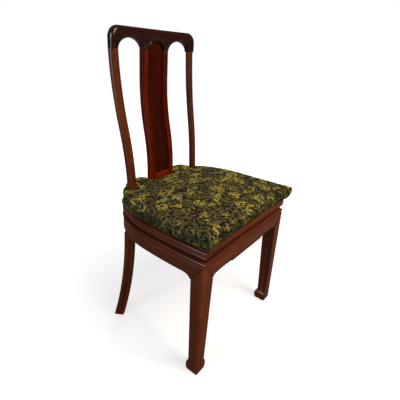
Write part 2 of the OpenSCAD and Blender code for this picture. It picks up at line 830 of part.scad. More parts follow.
module cushion_body() {
    rings = [for (level = cushion_levels) [for (p = seam_outline(level[0], level[1], 3))
        let (q = crown_mid + level[3] * (p - crown_mid)) [q.x, q.y, seat_h + level[2]]]];
    m = len(rings[0]);
    n = len(rings);
    base = [crown_mid.x, crown_mid.y, seat_h + soft_gap];
    crown = [crown_mid.x, crown_mid.y, seat_h + seam_h + crown_h];
    faces = concat(
        [for (i = [0:m - 1]) [0, 2 + i, 2 + (i + 1) % m]],
        [for (k = [0:n - 2], i = [0:m - 1], half = [0, 1])
            let (a = 2 + k * m + i, b = 2 + k * m + (i + 1) % m, c = a + m, d = b + m)
            half == 0 ? [a, d, b] : [a, c, d]],
        [for (i = [0:m - 1]) [1, 2 + (n - 1) * m + (i + 1) % m, 2 + (n - 1) * m + i]]
    );
    polyhedron(concat([base, crown], [for (ring = rings) each ring]), faces, convexity = 4);
}

// Round holes for the posts, each with a slit to the back, and a notch round the splat
module cushion_notches(grow) {
    r = post_r + notch_gap + grow;
    half = splat_w / 2 + notch_gap + grow;
    front = splat_foot_y - stile_t / 2 - notch_gap - grow;
    for (side = [-1, 1]) translate([side * post_foot.x, post_foot.y, seat_h - over]) {
        cylinder(h = seam_h + crown_h + 2 * over, r = r, $fn = round_fn);
        translate([-slit_w / 2 - grow, 0, 0])
            cube([slit_w + 2 * grow, seat_w, seam_h + crown_h + 2 * over]);
    }
    translate([-half, front, seat_h - over]) cube([2 * half, seat_w, seam_h + crown_h + 2 * over]);
}

module foam_body(grow) {
    low = seat_h + (seam_h - foam_t) / 2 - grow;
    difference() {
        translate([0, 0, low]) linear_extrude(foam_t + 2 * grow)
            polygon(seam_outline(0, grow - foam_in, 2));
        cushion_notches(foam_gap - grow);
    }
}

module cushion_cover() {
    color(cloth) difference() {
        cushion_body();
        cushion_notches(0);
        foam_body(soft_gap);
    }
}

module cushion_foam() {
    color(foam_white) foam_body(0);
}

module placed(side) {
    translate([0, -mid_y, 0]) mirror([side == "left" ? 1 : 0, 0, 0]) children();
}

placed("left") front_leg();  // front_leg_left
placed("right") front_leg();  // front_leg_right
placed("left") rear_leg();  // rear_leg_left
placed("right") rear_leg();  // rear_leg_right
placed("left") back_post();  // back_post_left
placed("right") back_post();  // back_post_right
placed("middle") crest_rail();
placed("left") splat_stile();  // splat_stile_left
placed("right") splat_stile();  // splat_stile_right
placed("middle") splat_bottom_rail();
placed("middle") splat_panel();
placed("middle") seat_rail_front();
placed("left") seat_rail_side();  // seat_rail_left
placed("right") seat_rail_side();  // seat_rail_right
placed("middle") seat_rail_rear();
placed("middle") seat_panel();
placed("middle") seat_batten();
placed("middle") waist_front();
placed("left") waist_side();  // waist_left
placed("right") waist_side();  // waist_right
placed("middle") waist_rear();
placed("middle") apron_front();
placed("left") apron_side();  // apron_left
placed("right") apron_side();  // apron_right
placed("middle") apron_rear();
placed("middle") cushion_cover();
placed("middle") cushion_foam();
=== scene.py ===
"""Side chair in the Chinese manner: rosewood under clear lacquer, with a loose brocade cushion."""
from math import asin, ceil, cos, pi, radians, sin, sqrt, tan

import bmesh
import bpy
from mathutils import Matrix, Vector, noise


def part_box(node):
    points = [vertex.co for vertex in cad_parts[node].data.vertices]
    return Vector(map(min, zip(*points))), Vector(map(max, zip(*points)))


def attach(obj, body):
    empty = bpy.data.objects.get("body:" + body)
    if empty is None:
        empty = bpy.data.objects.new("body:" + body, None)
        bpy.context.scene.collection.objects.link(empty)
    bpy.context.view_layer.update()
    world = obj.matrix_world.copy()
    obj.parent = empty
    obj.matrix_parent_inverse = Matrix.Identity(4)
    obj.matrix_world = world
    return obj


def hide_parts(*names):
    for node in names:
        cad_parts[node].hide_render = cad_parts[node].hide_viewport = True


bl_info = {
    "name": "Rosewood side chair",
    "version": (1, 0, 0),
    "blender": (4, 5, 0),
    "location": "View3D > Sidebar > Side chair",
    "description": "Dresses the frame of a side chair in lacquered rosewood and a brocade cushion",
    "category": "Object",
}

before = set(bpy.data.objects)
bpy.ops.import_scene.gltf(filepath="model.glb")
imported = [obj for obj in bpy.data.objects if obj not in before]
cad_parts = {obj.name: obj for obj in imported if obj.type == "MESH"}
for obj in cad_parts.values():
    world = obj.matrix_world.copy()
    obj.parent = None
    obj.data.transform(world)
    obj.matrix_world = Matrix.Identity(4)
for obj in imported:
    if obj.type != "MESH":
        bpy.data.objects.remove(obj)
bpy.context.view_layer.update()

MM = 0.001
SIDES = {"left": -1, "right": 1}

# Levels that the frame fixes. Depths in this script are measured back from the seat frame's
# front edge, and are moved to the model's own origin when a mesh is made.
RAIL_BOX, CREST_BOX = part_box("seat_rail_front"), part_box("crest_rail")
FRONT_Y, RAIL_LOW, RAIL_HIGH = RAIL_BOX[0].y, RAIL_BOX[0].z, RAIL_BOX[1].z
SPANDREL_LOW, WAIST_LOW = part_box("apron_front")[0].z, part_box("apron_front")[1].z
SIDE_APRON_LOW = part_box("apron_rear")[0].z
CREST_LOW, CREST_HIGH, CREST_HALF = CREST_BOX[0].z, CREST_BOX[1].z, CREST_BOX[1].x
SEAT_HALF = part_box("seat_rail_right")[1].x
LEG_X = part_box("front_leg_right")[1].x

JOINT_GAP = 0.1 * MM
# Depth of the grooves that hold the splat's panel
GROOVE = 4 * MM
# How far the cushion rises up the bent posts
FULL_LIFT = 40 * MM
# Depth at which the side mouldings, mitred at the front corner, stand square to the edge
SQUARE_Y = 110 * MM
# Distances between the rings of a moulding: plain ones, and ones with a shaped lower edge
SIDE_STEP, SHAPED_SIDE_STEP = 9 * MM, 5 * MM
FRONT_STEP, SHAPED_FRONT_STEP = 6 * MM, 2.5 * MM


# Sizes and colours


def length(label, millimetres, text):
    """A size that a user can change, given in millimetres."""
    return bpy.props.FloatProperty(
        name=label, description=text, default=millimetres * MM, min=0, unit="LENGTH", precision=4)


def turn_of(label, degrees, text):
    """An angle that a user can change, given in degrees."""
    return bpy.props.FloatProperty(
        name=label, description=text, default=radians(degrees), subtype="ANGLE")


def shade(label, code, text):
    """A colour that a user can change, given as an sRGB hex value."""
    return bpy.props.FloatVectorProperty(
        name=label, description=text, default=linear(code)[:3], subtype="COLOR", size=3,
        min=0, max=1)


def linear(code):
    """The linear colour of an sRGB hex value."""
    parts = [int(code[i:i + 2], 16) / 255 for i in (1, 3, 5)]
    return [c / 12.92 if c <= 0.04045 else ((c + 0.055) / 1.055) ** 2.4 for c in parts] + [1]


class ChairSeatSizes(bpy.types.PropertyGroup):
    """Plan of the seat frame and sections of its rails, waist and aprons."""
    widest_y: length("Widest place", 105, "Distance from the front edge to the widest place")
    side_r: length("Side radius", 1575, "Radius of the bowed side")
    side_turn: turn_of("Side turn", 5.3, "Direction that the side faces where the hip starts")
    hip_r: length("Hip radius", 300, "Radius of the hip curve")
    hip_turn: turn_of("Hip turn", 35, "Direction that the hip faces where the corner starts")
    corner_r: length("Corner radius", 95, "Radius of the rear corner")
    corner_turn: turn_of("Corner turn", 80, "Direction that the corner faces at its end")
    rail_joint_turn: turn_of("Rail joint", 16, "Direction of the joint of side and rear rails")
    rail_w: length("Rail width", 68, "Width of a seat rail in plan")
    edge_r: length("Top edge", 7, "Radius of the rail's rounded top edge")
    lip_r: length("Rail bead", 4, "Radius of the bead along the rail's lower edge")
    waist_in: length("Waist setback", 8, "Distance of the waist inside the frame's edge")
    apron_in: length("Apron setback", 2, "Distance of the apron face inside the frame's edge")
    apron_t: length("Apron thickness", 20, "Thickness of an apron")
    bead_h: length("Apron bead", 12, "Height of the bead along the top of an apron")
    apron_rise: length("Side apron rise", 8, "Rise of the side aprons' edge over the front's")
    cusp_x: length("Cusp place", 97, "Distance from the middle to the front apron's cusp")
    cusp_l: length("Cusp slope", 2.5, "Length of the slope at the cusp")
    arch_rise: length("Arch rise", 5, "Rise of the front apron's shallow arch")
    spandrel_l: length("Spandrel length", 27, "Length of the spandrel beside a front leg")
    ease: length("Eased edge", 1.6, "Radius of an apron's eased lower edge")


class ChairLegSizes(bpy.types.PropertyGroup):
    """Front and rear legs."""
    leg_w: length("Front leg", 48.5, "Width of a front leg at the top")
    arris: length("Front leg arris", 1.8, "Width of the rounding along a front leg's edges")
    rear_d: length("Rear leg depth", 34, "Depth of a rear leg along its curve")
    rear_w: length("Rear leg width", 30, "Width of a rear leg across its curve")
    rear_r: length("Rear leg edge", 6, "Radius of the rear leg's edges")
    sweep: length("Rear leg sweep", 43, "Distance that a rear leg sweeps out to its foot")
    sweep_dir: turn_of("Sweep direction", 56, "Direction in plan of the rear leg's sweep")
    rear_turn: turn_of("Rear leg place", 27, "Direction from the hip's centre to the rear leg")
    rear_proud: length("Rear leg proud", 3, "Distance that a rear leg stands out from the apron")


class ChairBackSizes(bpy.types.PropertyGroup):
    """Posts, splat and crest rail."""
    post_d: length("Post long width", 31, "Greater width of the post's oval section")
    post_w: length("Post short width", 26, "Lesser width of the post's oval section")
    post_turn: turn_of("Post place", 33, "Direction from the corner's centre to the post")
    post_splay: turn_of("Post splay", 16.5, "Direction of the post's lean, off straight back")
    foot_lean: turn_of("Post foot lean", 0.8, "Lean of a post at the seat")
    mid_lean: turn_of("Post middle lean", 12.6, "Greatest lean of a post")
    head_lean: turn_of("Post head lean", 3, "Lean of a post at the crest rail")
    mid_z: length("Post bend height", 700, "Height of the post's greatest lean")
    splat_w: length("Splat width", 124, "Width of the splat")
    stile_w: length("Stile width", 25, "Width of a splat stile")
    stile_t: length("Stile thickness", 22, "Thickness of a splat stile")
    stile_r: length("Stile edge", 6, "Radius of a stile's outer edges")
    panel_t: length("Panel thickness", 9, "Thickness of the splat panel")
    rail_h: length("Bottom rail", 68, "Height of the splat's bottom rail")
    splat_lean: turn_of("Splat lean", 13.5, "Greatest lean of the splat")
    splat_low_z: length("Splat low", 508, "Height where the splat starts to lean")
    splat_mid_z: length("Splat middle", 672, "Height of the splat's greatest lean")
    splat_high_z: length("Splat high", 855, "Height where the splat is upright again")
    crest_t: length("Crest thickness", 29, "Thickness of the crest rail")
    crest_foot_t: length("Crest foot", 27.6, "Thickness of the crest rail over the posts")
    crest_bow: length("Crest bow", 6, "Bow of the crest rail behind the posts' line")
    ear_w: length("Ear width", 34, "Width of the crest rail's rounded end")
    ear_h: length("Ear height", 36, "Height of the crest rail's rounded end")
    arch_h: length("Open arch", 33, "Height of the two open arches")
    panel_arch_h: length("Panel arch", 28, "Height of the arch over the panel")
    rim_r: length("Crest rim", 11, "Radius of the crest rail's outer rim")
    arch_r: length("Arch rim", 7, "Radius of the edges round the arches")


class ChairCushionSizes(bpy.types.PropertyGroup):
    """The loose cushion."""
    seam_h: length("Seam height", 49, "Height of the upper edge above the seat frame")
    crown_h: length("Crown", 10, "Height of the crown above the upper edge")
    side_over: length("Side overhang", 13, "Overhang of the upper edge at the sides")
    front_over: length("Front overhang", 18, "Overhang of the upper edge at the front")
    rear_under: length("Rear setback", 1, "Setback of the upper edge at the back")
    ear_turn: turn_of("Rear lobe", 48, "Direction where the setback is reached")
    slit_w: length("Slit width", 9, "Width of the slit behind each post")
    draw_in: length("Draw in", 17, "Distance that the sides draw in towards the base")
    ear_spread: length("Lobe spread", 9, "Distance that the rear lobes spread towards the base")
    crown_y: length("Crown place", 205, "Distance from the front to the middle of the crown")
    bulge: length("Bulge", 2, "Bulge of the sides beyond the upper edge")
    notch_gap: length("Notch gap", 2.6, "Clearance round the posts and the splat")
    lift: length("Rest gap", 0.3, "Clearance between the cushion and the frame")
    voxel: length("Cloth mesh", 4.5, "Size of the cloth's mesh before it is stuffed")
    swell: length("Swell", 5, "Greatest distance that the stuffing moves the cloth")


class ChairColours(bpy.types.PropertyGroup):
    """Colours of the wood and the brocade."""
    wood_pale: shade("Pale grain", "#7d370a", "Pale grain of the rosewood")
    wood_deep: shade("Deep grain", "#381004", "Deep grain of the rosewood")
    crest_pale: shade("Crest pale", "#401606", "Pale grain of the darker crest rail and waist")
    crest_deep: shade("Crest deep", "#1c0702", "Deep grain of the darker crest rail and waist")
    red_pale: shade("Red pale", "#7a2206", "Pale grain of the redder stiles and panel")
    red_deep: shade("Red deep", "#2b0501", "Deep grain of the redder stiles and panel")
    gold: shade("Gold silk", "#b8a848", "Gold silk of the motifs")
    olive: shade("Olive silk", "#7d7238", "Olive silk of the finer scrolls")
    ground: shade("Ground silk", "#0e0d07", "Dark green ground of the brocade")


class ChairSettings(bpy.types.PropertyGroup):
    """Everything that the panel shows."""
    seat: bpy.props.PointerProperty(type=ChairSeatSizes)
    legs: bpy.props.PointerProperty(type=ChairLegSizes)
    back: bpy.props.PointerProperty(type=ChairBackSizes)
    cushion: bpy.props.PointerProperty(type=ChairCushionSizes)
    colours: bpy.props.PointerProperty(type=ChairColours)


# Plan of the seat


def aim(turn):
    """Direction in plan at an angle from sideways towards the back."""
    return Vector((cos(turn), sin(turn)))


class SeatPlan:
    """The four tangent arcs of the seat frame's edge, from the front corner to the middle back."""

    def __init__(self, seat):
        self.seat = seat
        self.side_c = Vector((SEAT_HALF - seat.side_r, seat.widest_y))
        self.hip_c = self.side_c + (seat.side_r - seat.hip_r) * aim(seat.side_turn)
        self.corner_c = self.hip_c + (seat.hip_r - seat.corner_r) * aim(seat.hip_turn)
        rear_r = seat.corner_r + self.corner_c.x / cos(seat.corner_turn)
        rear_y = self.corner_c.y - (rear_r - seat.corner_r) * sin(seat.corner_turn)
        self.arcs = [
            (self.side_c, seat.side_r, seat.side_turn),
            (self.hip_c, seat.hip_r, seat.hip_turn),
            (self.corner_c, seat.corner_r, seat.corner_turn),
            (Vector((0, rear_y)), rear_r, pi / 2),
        ]
        self.front_x = self.side_x(0, 0)
        self.slope = (self.front_x - self.side_x(seat.rail_w, -seat.rail_w)) / seat.rail_w

    def arc_at(self, turn):
        """Centre and radius of the arc whose edge faces turn."""
        for centre, radius, last in self.arcs:
            if turn <= last + 1e-9:
                return centre, radius
        return self.arcs[-1][:2]

    def edge(self, turn, out=0.0):
        """Point of the frame's edge that faces turn, moved outwards by out."""
        if turn > pi / 2:
            point = self.edge(pi - turn, out)
            return Vector((-point.x, point.y))
        centre, radius = self.arc_at(turn)
        return centre + (radius + out) * aim(turn)

    def side_x(self, y, out):
        """Half width of the side, moved outwards by out, at depth y."""
        return self.edge(self.depth_turn(y, out), out).x

    def depth_turn(self, y, out=0.0):
        """Direction that the bowed side faces at depth y."""
        return asin((y - self.seat.widest_y) / (self.seat.side_r + out))

    def mitre_depth(self, out):
        """Depth at which the side, moved outwards by out, meets the mitre at the front corner."""
        y = -out
        for _ in range(8):
            y = (self.front_x + 2 * JOINT_GAP - self.side_x(y, out)) / self.slope
        return y

    def turns(self, first, last, step):
        """Directions from first to last, about step apart along the edge."""
        bends = [arc[2] for arc in self.arcs]
        bends += [pi - arc[2] for arc in self.arcs[:-1]]
        stops = [first] + sorted(b for b in bends if first < b < last) + [last]
        found = [first]
        for start, end in zip(stops, stops[1:]):
            middle = (start + end) / 2
            radius = self.arc_at(min(middle, pi - middle))[1]
            count = max(1, ceil(radius * (end - start) / step))
            found += [start + (end - start) * (i + 1) / count for i in range(count)]
        return found


# Making meshes


def rounded_corners(points, steps=5):
    """A closed outline whose corners (x, y, radius) are rounded by arcs."""
    outline = []
    count = len(points)
    for i, (x, y, r) in enumerate(points):
        here = Vector((x, y))
        if r == 0:
            outline.append(here)
            continue
        back = (Vector(points[i - 1][:2]) - here).normalized()
        on = (Vector(points[(i + 1) % count][:2]) - here).normalized()
        half = back.angle(on) / 2
        run = r / tan(half)
        middle = here + (back + on).normalized() * (r / sin(half))
        a, b = here + back * run - middle, here + on * run - middle
        sweep = a.angle(b)
        for k in range(steps + 1):
            t = k / steps
            outline.append(middle + (a * sin((1 - t) * sweep) + b * sin(t * sweep)) / sin(sweep))
    return outline


def share(value, first, last):
    """How far a value lies between two others, from 0 to 1."""
    return min(1.0, max(0.0, (value - first) / (last - first)))


def oval(wide, deep, turn, count):
    """Points of an ellipse whose long way faces turn."""
    across, along = aim(turn), aim(turn + pi / 2)
    return [across * (wide / 2 * cos(2 * pi * i / count))
            + along * (deep / 2 * sin(2 * pi * i / count)) for i in range(count)]


def loft(rings, places):
    """Closed mesh data through rings of equal length. places holds each point's place in the
    wood: along the grain, then the two ways across it."""
    count = len(rings[0])
    points = [p for ring in rings for p in ring]
    faces = [tuple(range(count))[::-1]]
    for k in range(len(rings) - 1):
        for i in range(count):
            j = (i + 1) % count
            a, b = k * count, (k + 1) * count
            faces.append((a + i, a + j, b + j, b + i))
    last = (len(rings) - 1) * count
    faces.append(tuple(range(last, last + count)))
    return points, faces, [p for row in places for p in row]


def store_grain(mesh, places):
    """Stores each point's place in the wood: along the grain, then the two ways across it."""
    grain = mesh.attributes.new("grain", "FLOAT_VECTOR", "POINT")
    for point, place in zip(grain.data, places):
        point.vector = place


def chair_mesh(name, points, faces, places, smooth=40):
    """Mesh with outward faces, moved from the front edge to the model's origin, with the grain's
    directions stored on it."""
    mesh = bpy.data.meshes.new(name)
    mesh.from_pydata([(p[0], p[1] + FRONT_Y, p[2]) for p in points], [], faces)
    store_grain(mesh, places)
    return tidy_mesh(mesh, smooth)


def tidy_mesh(mesh, smooth=40):
    """The mesh with doubles merged, faces outwards and edges sharp past an angle."""
    apart = 0.002 * MM
    made = bmesh.new()
    made.from_mesh(mesh)
    bmesh.ops.remove_doubles(made, verts=made.verts, dist=apart)
    bmesh.ops.dissolve_degenerate(made, edges=made.edges, dist=apart)
    bmesh.ops.recalc_face_normals(made, faces=made.faces)
    made.to_mesh(mesh)
    made.free()
    mesh.shade_smooth()
    mesh.set_sharp_from_angle(angle=radians(smooth))
    return mesh


def settle(target):
    """Makes what the modifiers show the object's own mesh, and takes them off."""
    evaluated = target.evaluated_get(bpy.context.evaluated_depsgraph_get())
    mesh = bpy.data.meshes.new_from_object(evaluated)
    old = target.data
    target.modifiers.clear()
    target.data = mesh
    bpy.data.meshes.remove(old)


def scene_object(name, data):
    """A new object in the scene."""
    made = bpy.data.objects.new(name, data)
    bpy.context.scene.collection.objects.link(made)
    return made


def piece(mesh, name, body, finish, node):
    """An object for the mesh that rides on a body and stands for its CAD node."""
    made = scene_object(name, mesh)
    mesh.materials.clear()
    mesh.materials.append(finish)
    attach(made, body)
    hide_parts(node)
    return made


def wooden_piece(settings, mesh, name, kind, seed, node, **looks):
    """A piece of the chair in one of the tones of rosewood."""
    return piece(mesh, name, "chair", wood(settings, kind, seed, **looks), node)


# Materials


def feed(tree, node, inputs):
    """Sets a node's inputs, or links them where the value is an output or a node, which stands
    for its first output."""
    for key, value in inputs.items():
        if isinstance(value, bpy.types.Node):
            value = value.outputs[0]
        if isinstance(value, bpy.types.NodeSocket):
            tree.links.new(value, node.inputs[key])
        else:
            node.inputs[key].default_value = value


def add(tree, kind, inputs=None, stops=None, **settings):
    """A node with its settings, its colour stops, and its inputs set or linked."""
    node = tree.nodes.new(kind)
    for key, value in settings.items():
        setattr(node, key, value)
    if stops:
        ramp = node.color_ramp
        while len(ramp.elements) < len(stops):
            ramp.elements.new(0.5)
        for element, (place, colour) in zip(ramp.elements, stops):
            element.position = place
            element.color = colour
    feed(tree, node, inputs or {})
    return node


def new_finish(name):
    """An empty material, its tree and its surface shader."""
    finish = bpy.data.materials.new(name)
    finish.use_nodes = True
    tree = finish.node_tree
    tree.nodes.clear()
    shader = add(tree, "ShaderNodeBsdfPrincipled")
    add(tree, "ShaderNodeOutputMaterial", {"Surface": shader.outputs["BSDF"]})
    return finish, tree, shader


def grey(value):
    """A colour of one grey value."""
    return [value, value, value, 1]


# Figure of the wood: the stripes of the annual rings, and the pores, which are really about
# 0.2 mm wide and are drawn coarser so that they show
STRIPE = 15 * MM
STRIPE_LENGTH = 420 * MM
PORE = 2.2 * MM
PORE_LENGTH = 45 * MM


def lacquered_rosewood(name, pale, deep, seed, along, coat, shine):
    """Rosewood, planed, sanded and sprayed with clear lacquer. It gives straight dark stripes
    under a smooth semi-gloss film, with fine pores that show as short dark dashes, and slightly
    paler worn arrises. along is the stored grain, or the axis that it follows on a plain node."""
    finish, tree, shader = new_finish(name)
    if along == "grain":
        place = add(tree, "ShaderNodeAttribute", attribute_name="grain").outputs["Vector"]
    else:
        turned = {"x": (0, 0, 0), "y": (0, 0, -pi / 2)}[along]
        flat = add(tree, "ShaderNodeTexCoord").outputs["Object"]
        place = add(tree, "ShaderNodeMapping", {"Vector": flat, "Rotation": turned})
    moved = {"Vector": place, "Location": (seed * 3.7, seed * 1.3, seed * 2.1)}
    stripes = add(tree, "ShaderNodeMapping", {
        **moved, "Scale": (1 / STRIPE_LENGTH, 1 / STRIPE, 1 / STRIPE)})
    pores = add(tree, "ShaderNodeMapping", {
        **moved, "Scale": (1 / PORE_LENGTH, 1 / PORE, 1 / PORE)})
    figure = add(tree, "ShaderNodeTexNoise", {
        "Vector": stripes, "Scale": 1.0, "Detail": 7.0, "Roughness": 0.62, "Distortion": 0.6})
    dashes = add(tree, "ShaderNodeTexNoise", {
        "Vector": pores, "Scale": 1.0, "Detail": 3.0, "Roughness": 0.7})
    broad = add(tree, "ShaderNodeTexNoise", {"Vector": place, "Scale": 6.0 + seed, "Detail": 2.0})
    body = add(tree, "ShaderNodeValToRGB", {"Fac": figure}, stops=[
        (0.3, list(deep) + [1]), (0.68, list(pale) + [1])])
    dark = add(tree, "ShaderNodeValToRGB", {"Fac": dashes}, stops=[
        (0.36, grey(0.42)), (0.5, grey(1.0))])
    clouds = add(tree, "ShaderNodeValToRGB", {"Fac": broad}, stops=[
        (0.3, grey(0.78)), (0.7, grey(1.12))])
    pored = add(tree, "ShaderNodeMix", {"Factor": 0.55, 6: body, 7: dark},
                data_type="RGBA", blend_type="MULTIPLY")
    toned = add(tree, "ShaderNodeMix", {"Factor": 1.0, 6: pored.outputs[2], 7: clouds},
                data_type="RGBA", blend_type="MULTIPLY")
    bend = add(tree, "ShaderNodeNewGeometry").outputs["Pointiness"]
    wear = add(tree, "ShaderNodeValToRGB", {"Fac": bend}, stops=[
        (0.5, grey(0.0)), (0.62, grey(0.4))])
    worn = add(tree, "ShaderNodeMix", {
        "Factor": wear, 6: toned.outputs[2], 7: [c * 1.5 for c in pale] + [1]}, data_type="RGBA")
    rough = add(tree, "ShaderNodeMapRange", {"Value": dashes, "To Min": 0.4, "To Max": 0.24})
    bump = add(tree, "ShaderNodeBump", {"Height": dashes, "Strength": 0.08, "Distance": 0.3 * MM})
    feed(tree, shader, {
        "Base Color": worn.outputs[2], "Roughness": rough, "Normal": bump, "IOR": 1.5,
        "Specular IOR Level": shine, "Coat Weight": coat, "Coat Roughness": 0.12})
    return finish


def silk_brocade(colours):
    """Silk brocade, jacquard woven, with gold cloud and scroll motifs on a dark green ground. It
    gives matt dark hollows between slightly shiny raised threads, and no two motifs quite alike.
    The motifs are about 45 mm across and their scrolls 4 mm wide. Its steep side band and its
    seam are darkened with painted shade."""
    finish, tree, shader = new_finish("silk brocade, woven")
    place = add(tree, "ShaderNodeTexCoord").outputs["Object"]
    drift = add(tree, "ShaderNodeTexNoise", {
        "Vector": place, "Scale": 30.0, "Detail": 2.0, "Roughness": 0.55})
    swirl = add(tree, "ShaderNodeVectorMath", {
        0: drift.outputs["Color"], 1: (0.5, 0.5, 0.5)}, operation="SUBTRACT")
    pull = add(tree, "ShaderNodeVectorMath", {0: swirl, "Scale": 0.06}, operation="SCALE")
    warped = add(tree, "ShaderNodeVectorMath", {0: place, 1: pull}, operation="ADD")
    flat = add(tree, "ShaderNodeMapping", {"Vector": warped, "Scale": (0.75, 1.25, 1.0)})
    motif = add(tree, "ShaderNodeTexVoronoi", {
        "Vector": flat, "Scale": 1 / (45 * MM), "Smoothness": 0.3}, feature="SMOOTH_F1")
    cluster = add(tree, "ShaderNodeValToRGB", {"Fac": motif.outputs["Distance"]}, stops=[
        (0.4, grey(1.0)), (0.52, grey(0.0))])
    curls = add(tree, "ShaderNodeTexNoise", {
        "Vector": flat, "Scale": 1 / (19 * MM), "Detail": 2.0, "Roughness": 0.5,
        "Distortion": 1.2})
    rings = add(tree, "ShaderNodeMath", {0: curls, 1: 0.075}, operation="PINGPONG")
    width = add(tree, "ShaderNodeMapRange", {"Value": cluster, "To Min": 0.036, "To Max": 0.02})
    over = add(tree, "ShaderNodeMath", {0: rings, 1: width}, operation="SUBTRACT")
    line = add(tree, "ShaderNodeMapRange", {"Value": over, "From Min": 0.0, "From Max": 0.008})
    breaks = add(tree, "ShaderNodeTexNoise", {
        "Vector": place, "Scale": 1 / (9 * MM), "Detail": 2.0})
    dots = add(tree, "ShaderNodeMapRange", {"Value": breaks, "From Min": 0.43, "From Max": 0.5})
    thread = add(tree, "ShaderNodeMath", {0: line, 1: dots}, operation="MULTIPLY")
    silk = add(tree, "ShaderNodeMix", {
        "Factor": cluster, 6: list(colours.olive) + [1], 7: list(colours.gold) + [1]},
        data_type="RGBA")
    cloth = add(tree, "ShaderNodeMix", {
        "Factor": thread, 6: list(colours.ground) + [1], 7: silk.outputs[2]}, data_type="RGBA")
    band = add(tree, "ShaderNodeAttribute", attribute_name="band").outputs["Fac"]
    # Painted shade: the cloth darkens as it turns down from the crown, with a painted shadow line
    # along the seam, and the steep side band is painted darker and greener than the top
    edge = add(tree, "ShaderNodeValToRGB", {"Fac": band}, stops=[
        (0.0, grey(1.0)), (0.42, grey(0.85)), (0.52, grey(0.25)), (0.62, [0.6, 0.66, 0.55, 1])])
    shadow = add(tree, "ShaderNodeMix", {"Factor": 1.0, 6: cloth.outputs[2], 7: edge},
                 data_type="RGBA", blend_type="MULTIPLY")
    weft = add(tree, "ShaderNodeTexWave", {
        "Vector": place, "Scale": 1 / (8.5 * MM), "Distortion": 1.0, "Detail": 1.0,
        "Detail Scale": 2.0})
    relief = add(tree, "ShaderNodeMath", {
        0: weft.outputs["Fac"], 1: 0.25, 2: thread}, operation="MULTIPLY_ADD")
    bump = add(tree, "ShaderNodeBump", {"Height": relief, "Strength": 0.4, "Distance": 0.6 * MM})
    rough = add(tree, "ShaderNodeMapRange", {"Value": thread, "To Min": 0.9, "To Max": 0.55})
    feed(tree, shader, {
        "Base Color": shadow.outputs[2], "Roughness": rough, "Normal": bump,
        "Specular IOR Level": 0.2, "Sheen Weight": 0.02, "Sheen Roughness": 0.4})
    return finish


def open_cell_foam():
    """Polyurethane foam, cut with a hot wire: matt, pale yellow and full of small pores."""
    finish, tree, shader = new_finish("polyurethane foam, cut")
    place = add(tree, "ShaderNodeTexCoord").outputs["Object"]
    cells = add(tree, "ShaderNodeTexVoronoi", {"Vector": place, "Scale": 1 / (2 * MM)})
    tint = add(tree, "ShaderNodeValToRGB", {"Fac": cells.outputs["Distance"]}, stops=[
        (0.1, linear("#cdbf92")), (0.6, linear("#eadfb8"))])
    feed(tree, shader, {"Base Color": tint, "Roughness": 0.9})
    return finish


def wood(settings, kind, seed, along="grain", tone=1.0, coat=0.1):
    """One of the three tones of rosewood, with its own stretch of grain."""
    tones = settings.colours
    pale, deep, shine = {
        "rosewood": (tones.wood_pale, tones.wood_deep, 0.26),
        "dark_rosewood": (tones.crest_pale, tones.crest_deep, 0.1),
        "red_rosewood": (tones.red_pale, tones.red_deep, 0.08),
    }[kind]
    pale, deep = [[c * tone for c in colour] for colour in (pale, deep)]
    name = f"{kind.replace('_', ' ')}, lacquered {seed}"
    return lacquered_rosewood(name, pale, deep, seed, along, coat, shine)


# Seat frame


def swept(plan, section, first, last, side=1, step=SIDE_STEP):
    """Closed mesh data of a moulding along the seat's edge. section gives the moulding's points,
    outwards and up, at a depth. Where first is None, it starts at the front mitre."""
    outs = [p[0] for p in section(SQUARE_Y)]
    rows = []
    if first is None:
        starts = [plan.depth_turn(plan.mitre_depth(out), out) for out in outs]
        first = plan.depth_turn(SQUARE_Y)
        count = ceil(SQUARE_Y / (step / 2))
        rows += [[s + (first - s) * k / count for s in starts] for k in range(count)]
    rows += [[turn] * len(outs) for turn in plan.turns(first, last, step)]
    rings, places = [], []
    along = 0.0
    before = None
    for row in rows:
        flat = [plan.edge(turn, out) for turn, out in zip(row, outs)]
        if before:
            along += (flat[0] - before).length
        before = flat[0]
        ring = [Vector((side * p.x, p.y, section(p.y)[i][1])) for i, p in enumerate(flat)]
        rings.append(ring)
        places.append([Vector((along, out, q.z)) for out, q in zip(outs, ring)])
    return loft(rings, places)


def straight(plan, section, step):
    """Closed mesh data of a moulding along the front edge, mitred at both ends. section gives
    its points, outwards and up, at a distance from the middle."""
    outs = [p[0] for p in section(0.0)]
    ends = [plan.front_x + plan.slope * out for out in outs]
    common = min(ends) - 1 * MM
    count, mitre_count = ceil(common / step), 12
    rows = [[common * k / count] * len(outs) for k in range(count + 1)]
    rows += [[common + (end - common) * k / mitre_count for end in ends]
             for k in range(1, mitre_count + 1)]
    rows = [[-x for x in row] for row in rows[:0:-1]] + rows
    rings = []
    for row in rows:
        rings.append([Vector((x, -out, section(abs(x))[i][1]))
                      for i, (x, out) in enumerate(zip(row, outs))])
    return loft(rings, rings)


def rail_section(seat):
    """Section of a seat rail: rounded top edge, a fine bead line, a cove and a bead below."""
    line_z, line_h, line_deep = RAIL_HIGH - 8.5 * MM, 1.6 * MM, 1.2 * MM
    cove_h, cove_deep = 2 * MM, 2.2 * MM
    bead_z = RAIL_LOW + 2 * seat.lip_r
    return rounded_corners([
        (-seat.rail_w, RAIL_LOW, 0),
        (-seat.rail_w, RAIL_HIGH, 1 * MM),
        (0, RAIL_HIGH, seat.edge_r),
        (0, line_z, 0.5 * MM),
        (-line_deep, line_z - 0.6 * MM, 0.3 * MM),
        (0, line_z - line_h, 0.5 * MM),
        (0, bead_z + cove_h, 0.8 * MM),
        (-cove_deep, bead_z, 0.5 * MM),
    ], 4) + [Vector((-seat.lip_r, RAIL_LOW + seat.lip_r)) + seat.lip_r * aim(radians(a))
             for a in range(70, -91, -16)]


